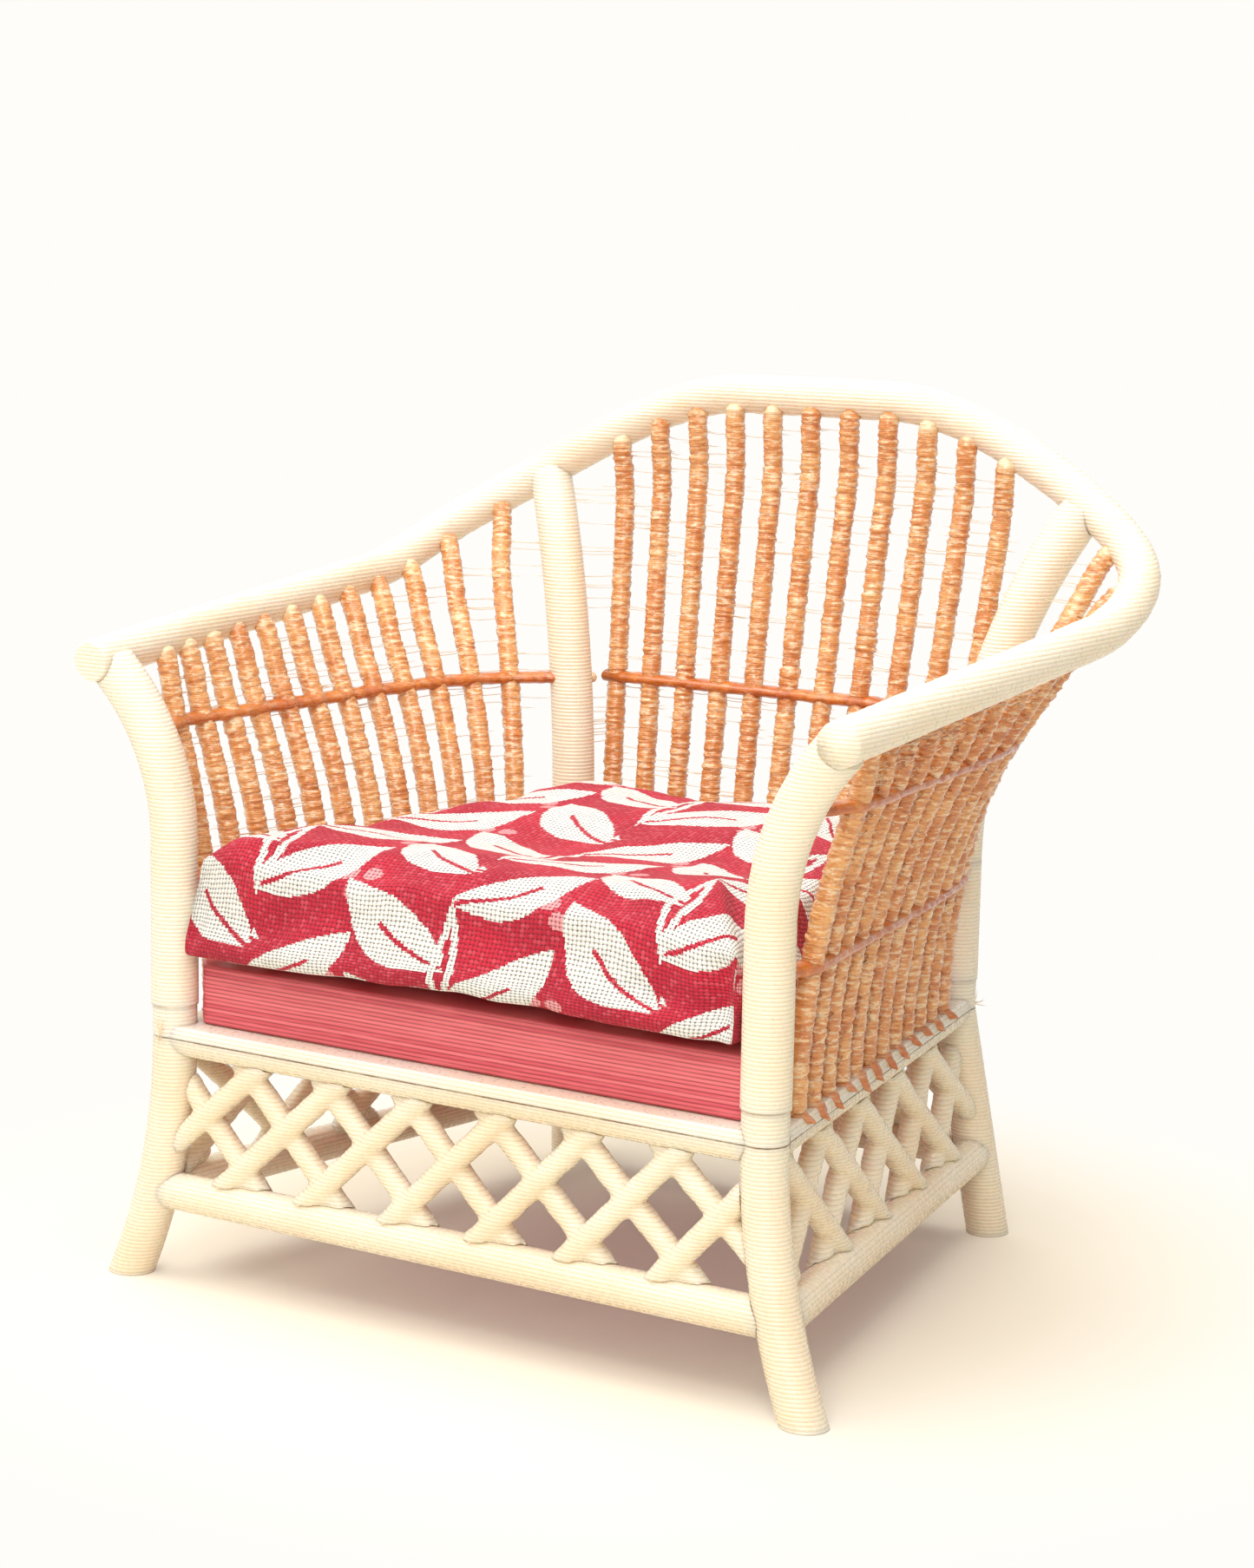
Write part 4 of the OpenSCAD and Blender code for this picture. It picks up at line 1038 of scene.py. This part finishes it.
def cushion_grid():
    """Closed grid over the cushion's top, sides and underside, with its cloth laid out flat as a UV map."""
    nx = round(2 * CUSHION_FRONT_HALF / CUSHION_CELL)
    ny = round((CUSHION_BACK_Y - CUSHION_FRONT_Y) / CUSHION_CELL)
    nz = round((CUSHION_EDGE_TOP - CUSHION_BOTTOM) / CUSHION_CELL)
    bm = bmesh.new()
    cloth = bm.loops.layers.uv.new("cloth")
    made = {}
    middle = (CUSHION_FRONT_Y + CUSHION_BACK_Y) / 2

    def place(i, j, k):
        half = mix(CUSHION_FRONT_HALF, CUSHION_BACK_HALF, j / ny)
        y = mix(CUSHION_FRONT_Y, CUSHION_BACK_Y, j / ny)
        return Vector(((2 * i / nx - 1) * half, y, mix(CUSHION_BOTTOM, CUSHION_EDGE_TOP, k / nz)))

    def vert(i, j, k):
        if (i, j, k) not in made:
            p = place(i, j, k)
            u, v, w = abs(2 * i / nx - 1), abs(2 * j / ny - 1), abs(2 * k / nz - 1)
            cut = 1 - CORNER_CUT * (u * v) ** 8
            x = p.x * (1 - SEAM_PULL_X * u ** 6 * w ** 2) * cut
            y = middle + (p.y - middle) * (1 - SEAM_PULL_Y * v ** 6 * w ** 2) * cut
            made[i, j, k] = bm.verts.new(Vector((x, y, p.z)) * MM)
        return made[i, j, k]

    def patch(corners, lay):
        face = bm.faces.new([vert(*c) for c in corners])
        face.smooth = True
        for loop, c in zip(face.loops, corners):
            loop[cloth].uv = lay(place(*c))

    def drop(p):
        return CUSHION_EDGE_TOP - p.z

    ring = ((0, 0), (1, 0), (1, 1), (0, 1))
    turned = ring[::-1]
    for i in range(nx):
        for j in range(ny):
            patch([(i + a, j + b, nz) for a, b in ring], lambda p: (p.x, p.y))
            patch([(i + b, j + a, 0) for a, b in ring], lambda p: (p.x + UNDERSIDE_CLOTH, p.y))
    for k in range(nz):
        for i in range(nx):
            patch([(i + a, 0, k + b) for a, b in ring], lambda p: (p.x, p.y - drop(p)))
            patch([(i + a, ny, k + b) for a, b in turned], lambda p: (p.x, p.y + drop(p)))
        for j in range(ny):
            patch([(0, j + a, k + b) for a, b in turned], lambda p: (p.x - drop(p), p.y))
            patch([(nx, j + a, k + b) for a, b in ring], lambda p: (p.x + drop(p), p.y))
    mesh = bpy.data.meshes.new("seat_cushion_cotton")
    bmesh.ops.recalc_face_normals(bm, faces=bm.faces)
    bm.to_mesh(mesh)
    bm.free()
    return link(bpy.data.objects.new("seat_cushion_cotton", mesh))


def stuff(piece):
    """Blow the cloth up with its filling, with the underside held where it lies on the board."""
    mesh = piece.data
    rest = [v.co.copy() for v in mesh.vertices]
    held = piece.vertex_groups.new(name="held")
    for v in mesh.vertices:
        if v.co.z < (CUSHION_BOTTOM + HELD_BAND) * MM:
            held.add([v.index], 1.0, "REPLACE")
        v.co *= SIM_SCALE
    filling = piece.modifiers.new("filling", "CLOTH")
    rules = filling.settings
    rules.quality = 6
    rules.mass = 0.25
    rules.tension_stiffness = rules.compression_stiffness = 12
    rules.shear_stiffness = 6
    rules.bending_stiffness = 0.4
    rules.use_pressure = True
    rules.uniform_pressure_force = 4
    rules.vertex_group_mass = "held"
    rules.effector_weights.gravity = 0
    filling.collision_settings.use_collision = False
    filling.point_cache.frame_start, filling.point_cache.frame_end = 1, SIM_FRAMES
    for k in range(1, SIM_FRAMES + 1):
        bpy.context.scene.frame_set(k)
    graph = bpy.context.evaluated_depsgraph_get()
    swollen = [v.co.copy() / SIM_SCALE for v in piece.evaluated_get(graph).data.vertices]
    piece.modifiers.clear()
    piece.vertex_groups.clear()
    bpy.context.scene.frame_set(1)
    for v, before, after in zip(mesh.vertices, rest, swollen):
        move = after - before
        if move.length > SIM_CAP * MM:
            move *= SIM_CAP * MM / move.length
        v.co = before + move


def ripple(x, y, z):
    return noise.noise(Vector((x, y, z)))


def settle(piece):
    """Press the sat-in valley, the lumps and the drooping corners into the stuffed cushion."""
    for v in piece.data.vertices:
        p = v.co / MM
        up = smooth(CUSHION_BOTTOM + TOP_BAND, CUSHION_EDGE_TOP - TOP_FULL, p.z)
        low = 1 - smooth(CUSHION_BOTTOM, CUSHION_BOTTOM + LOW_BAND, p.z)
        front = smooth(*FRONT_SPAN, p.y)
        valley_y = VALLEY_Y + VALLEY_SLANT * p.x
        valley = VALLEY_DEPTH * hump(p.y - valley_y, VALLEY_LENGTH) * hump(p.x - VALLEY_X, VALLEY_WIDTH)
        lumps = BIG_LUMPS * ripple(p.x * 0.11, p.y * 0.14, 3.0)
        small = SMALL_LUMPS * ripple(p.x * 0.33, p.y * 0.36, 7.0)
        back_hump = BACK_HUMP * hump(p.y - BACK_HUMP_Y, BACK_HUMP_LENGTH)
        ridge = SIDE_RIDGE * smooth(*RIDGE_SPAN, abs(p.x)) * hump(p.y - SIDE_RIDGE_Y, SIDE_RIDGE_LENGTH)
        p.z += up * (lumps + small + back_hump + ridge - valley)
        p.z -= RIGHT_DROOP * smooth(*RIGHT_DROOP_SPAN, p.x) * front * up
        p.z -= LEFT_DROOP * smooth(*LEFT_DROOP_SPAN, p.x) * up * front

        # The front of the underside lifts off the board, and the front face hangs over it
        lift = EDGE_LIFT + MIDDLE_LIFT * hump(p.x - LIFT_X, LIFT_WIDTH)
        lift += LIFT_WAVER * ripple(p.x * 0.3, 1.0, 0.0)
        p.z += low * smooth(*LIFT_SPAN, p.y) * lift
        p.y -= OVERHANG * low * front
        p.y -= FRONT_WAVER * front * ripple(p.x * 0.2, p.z * 0.25, 9.0)
        p.y += FOLD_DEPTH * hump(p.x - FOLD_X, FOLD_WIDTH) * hump(p.z - FOLD_Z, FOLD_HEIGHT) * front

        # The front corners stay clear of the arm posts
        if p.y < POST_BACK_Y:
            room = mix(FRONT_ROOM, POST_ROOM, smooth(POST_FRONT_Y, POST_FACE_Y, p.y))
            p.x = min(max(p.x, -room), room)
        v.co = p * MM


def make_cushion():
    piece = cushion_grid()
    stuff(piece)
    settle(piece)
    fine = piece.modifiers.new("fine", "SUBSURF")
    fine.levels = fine.render_levels = 1
    plain(piece)
    coat(piece, leaf_cotton)
    add_piece(piece, "cushion", "cushion_fabric", "seat_cushion")


# Finish of the solids that stay as they are

def dress_solids():
    for name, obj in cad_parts.items():
        finish = base_ivory if name.startswith(("leg_", "base_", "lattice_")) else frame_cream
        coat(obj, finish)


# Studio, in metres and watts: each lamp's name, place, width, power and tone
LAMPS = (
    ("overhead softbox", (-0.08, -0.06, 0.42), 0.62, 2.85, (1.0, 0.97, 0.92)),
    ("front softbox", (0.17, -0.41, 0.33), 0.34, 1.45, (1.0, 0.985, 0.96)),
)
LAMP_AIM = (0, 0, 0.03)
STUDIO_WHITE = colour(255, 253, 249)
SKY_TONE, SKY_STRENGTH = colour(255, 250, 242), 0.27
FLOOR_TONE, FLOOR_GLOW_TONE, FLOOR_GLOW = colour(234, 226, 208), colour(255, 253, 250), 0.13
FLOOR_HALF, SHADOW_NEAR, SHADOW_FAR = 3.0, 0.03, 0.066


def seen_rays(t):
    """1 for what the camera sees, also in a gloss or through glass, and 0 for light on the piece."""
    rays = put(t, "ShaderNodeLightPath").outputs
    shown = sums(t, "MAXIMUM", rays["Is Camera Ray"], rays["Is Glossy Ray"])
    return sums(t, "MAXIMUM", shown, rays["Is Transmission Ray"])


def white_floor():
    """Matt floor that takes the shadow near the chair and turns plain white further out."""
    material = bpy.data.materials.new("white studio floor")
    material.use_nodes = True
    t = material.node_tree
    t.nodes.clear()
    seen = seen_rays(t)
    place = put(t, "ShaderNodeTexCoord").outputs["Object"]
    away = put(t, "ShaderNodeVectorMath", {0: place}, operation="LENGTH").outputs["Value"]
    far = times(t, step_up(t, away, SHADOW_NEAR, SHADOW_FAR), seen)
    matt = put(t, "ShaderNodeBsdfDiffuse", {"Color": FLOOR_TONE}).outputs[0]
    glow = {"Color": FLOOR_GLOW_TONE, "Strength": times(t, seen, FLOOR_GLOW)}
    glow = put(t, "ShaderNodeEmission", glow).outputs[0]
    near = put(t, "ShaderNodeAddShader", {0: matt, 1: glow}).outputs[0]
    white = put(t, "ShaderNodeEmission", {"Color": STUDIO_WHITE, "Strength": 1.0}).outputs[0]
    both = put(t, "ShaderNodeMixShader", {0: far, 1: near, 2: white}).outputs[0]
    put(t, "ShaderNodeOutputMaterial", {"Surface": both})
    return material


def make_floor():
    mesh = bpy.data.meshes.new("floor")
    corners = ((-1, -1), (1, -1), (1, 1), (-1, 1))
    mesh.from_pydata([(x * FLOOR_HALF, y * FLOOR_HALF, 0) for x, y in corners], [], [(0, 1, 2, 3)])
    mesh.materials.append(white_floor())
    link(bpy.data.objects.new("floor", mesh))


def make_lamp(name, place, width, power, tone):
    data = bpy.data.lights.new(name, "AREA")
    data.shape = "DISK"
    data.size = width
    data.energy = power
    data.color = tone
    lamp = link(bpy.data.objects.new(name, data))
    lamp.location = place
    lamp.rotation_euler = (Vector(LAMP_AIM) - Vector(place)).to_track_quat("-Z", "Y").to_euler()


def make_sky():
    """Soft light from all round, behind a white backdrop."""
    world = bpy.data.worlds.new("white studio")
    bpy.context.scene.world = world
    world.use_nodes = True
    t = world.node_tree
    t.nodes.clear()
    soft = put(t, "ShaderNodeBackground", {"Color": SKY_TONE, "Strength": SKY_STRENGTH}).outputs[0]
    white = put(t, "ShaderNodeBackground", {"Color": STUDIO_WHITE, "Strength": 1.0}).outputs[0]
    both = put(t, "ShaderNodeMixShader", {0: seen_rays(t), 1: soft, 2: white}).outputs[0]
    put(t, "ShaderNodeOutputWorld", {"Surface": both})


def make_studio():
    make_floor()
    for lamp in LAMPS:
        make_lamp(*lamp)
    make_sky()
    bpy.context.scene.view_settings.view_transform = "Standard"


def make_camera():
    yaw, pitch, roll = (math.radians(a) for a in (CAMERA_YAW, CAMERA_PITCH, CAMERA_ROLL))
    ahead = Vector((-math.sin(yaw) * math.cos(pitch), math.cos(yaw) * math.cos(pitch), -math.sin(pitch)))
    right = ahead.cross(Vector((0, 0, 1))).normalized()
    up = right.cross(ahead)
    across = right * math.cos(roll) + up * math.sin(roll)
    upward = up * math.cos(roll) - right * math.sin(roll)
    data = bpy.data.cameras.new("camera")
    data.sensor_fit = "AUTO"
    data.sensor_width = SENSOR
    data.lens = FOCAL_PIXELS * SENSOR / PHOTO_HEIGHT
    data.clip_start = 0.01
    camera = link(bpy.data.objects.new("camera", data))
    turn = camera.matrix_world.to_3x3()
    turn.col[0], turn.col[1], turn.col[2] = across, upward, -ahead
    camera.matrix_world = turn.to_4x4()
    camera.location = CAMERA_PLACE
    bpy.context.scene.camera = camera


make_camera()
make_studio()
dress_solids()
make_bent_rail()
make_spindles()
make_bindings()
make_hairs()
make_lattice()
make_board()
make_cushion()
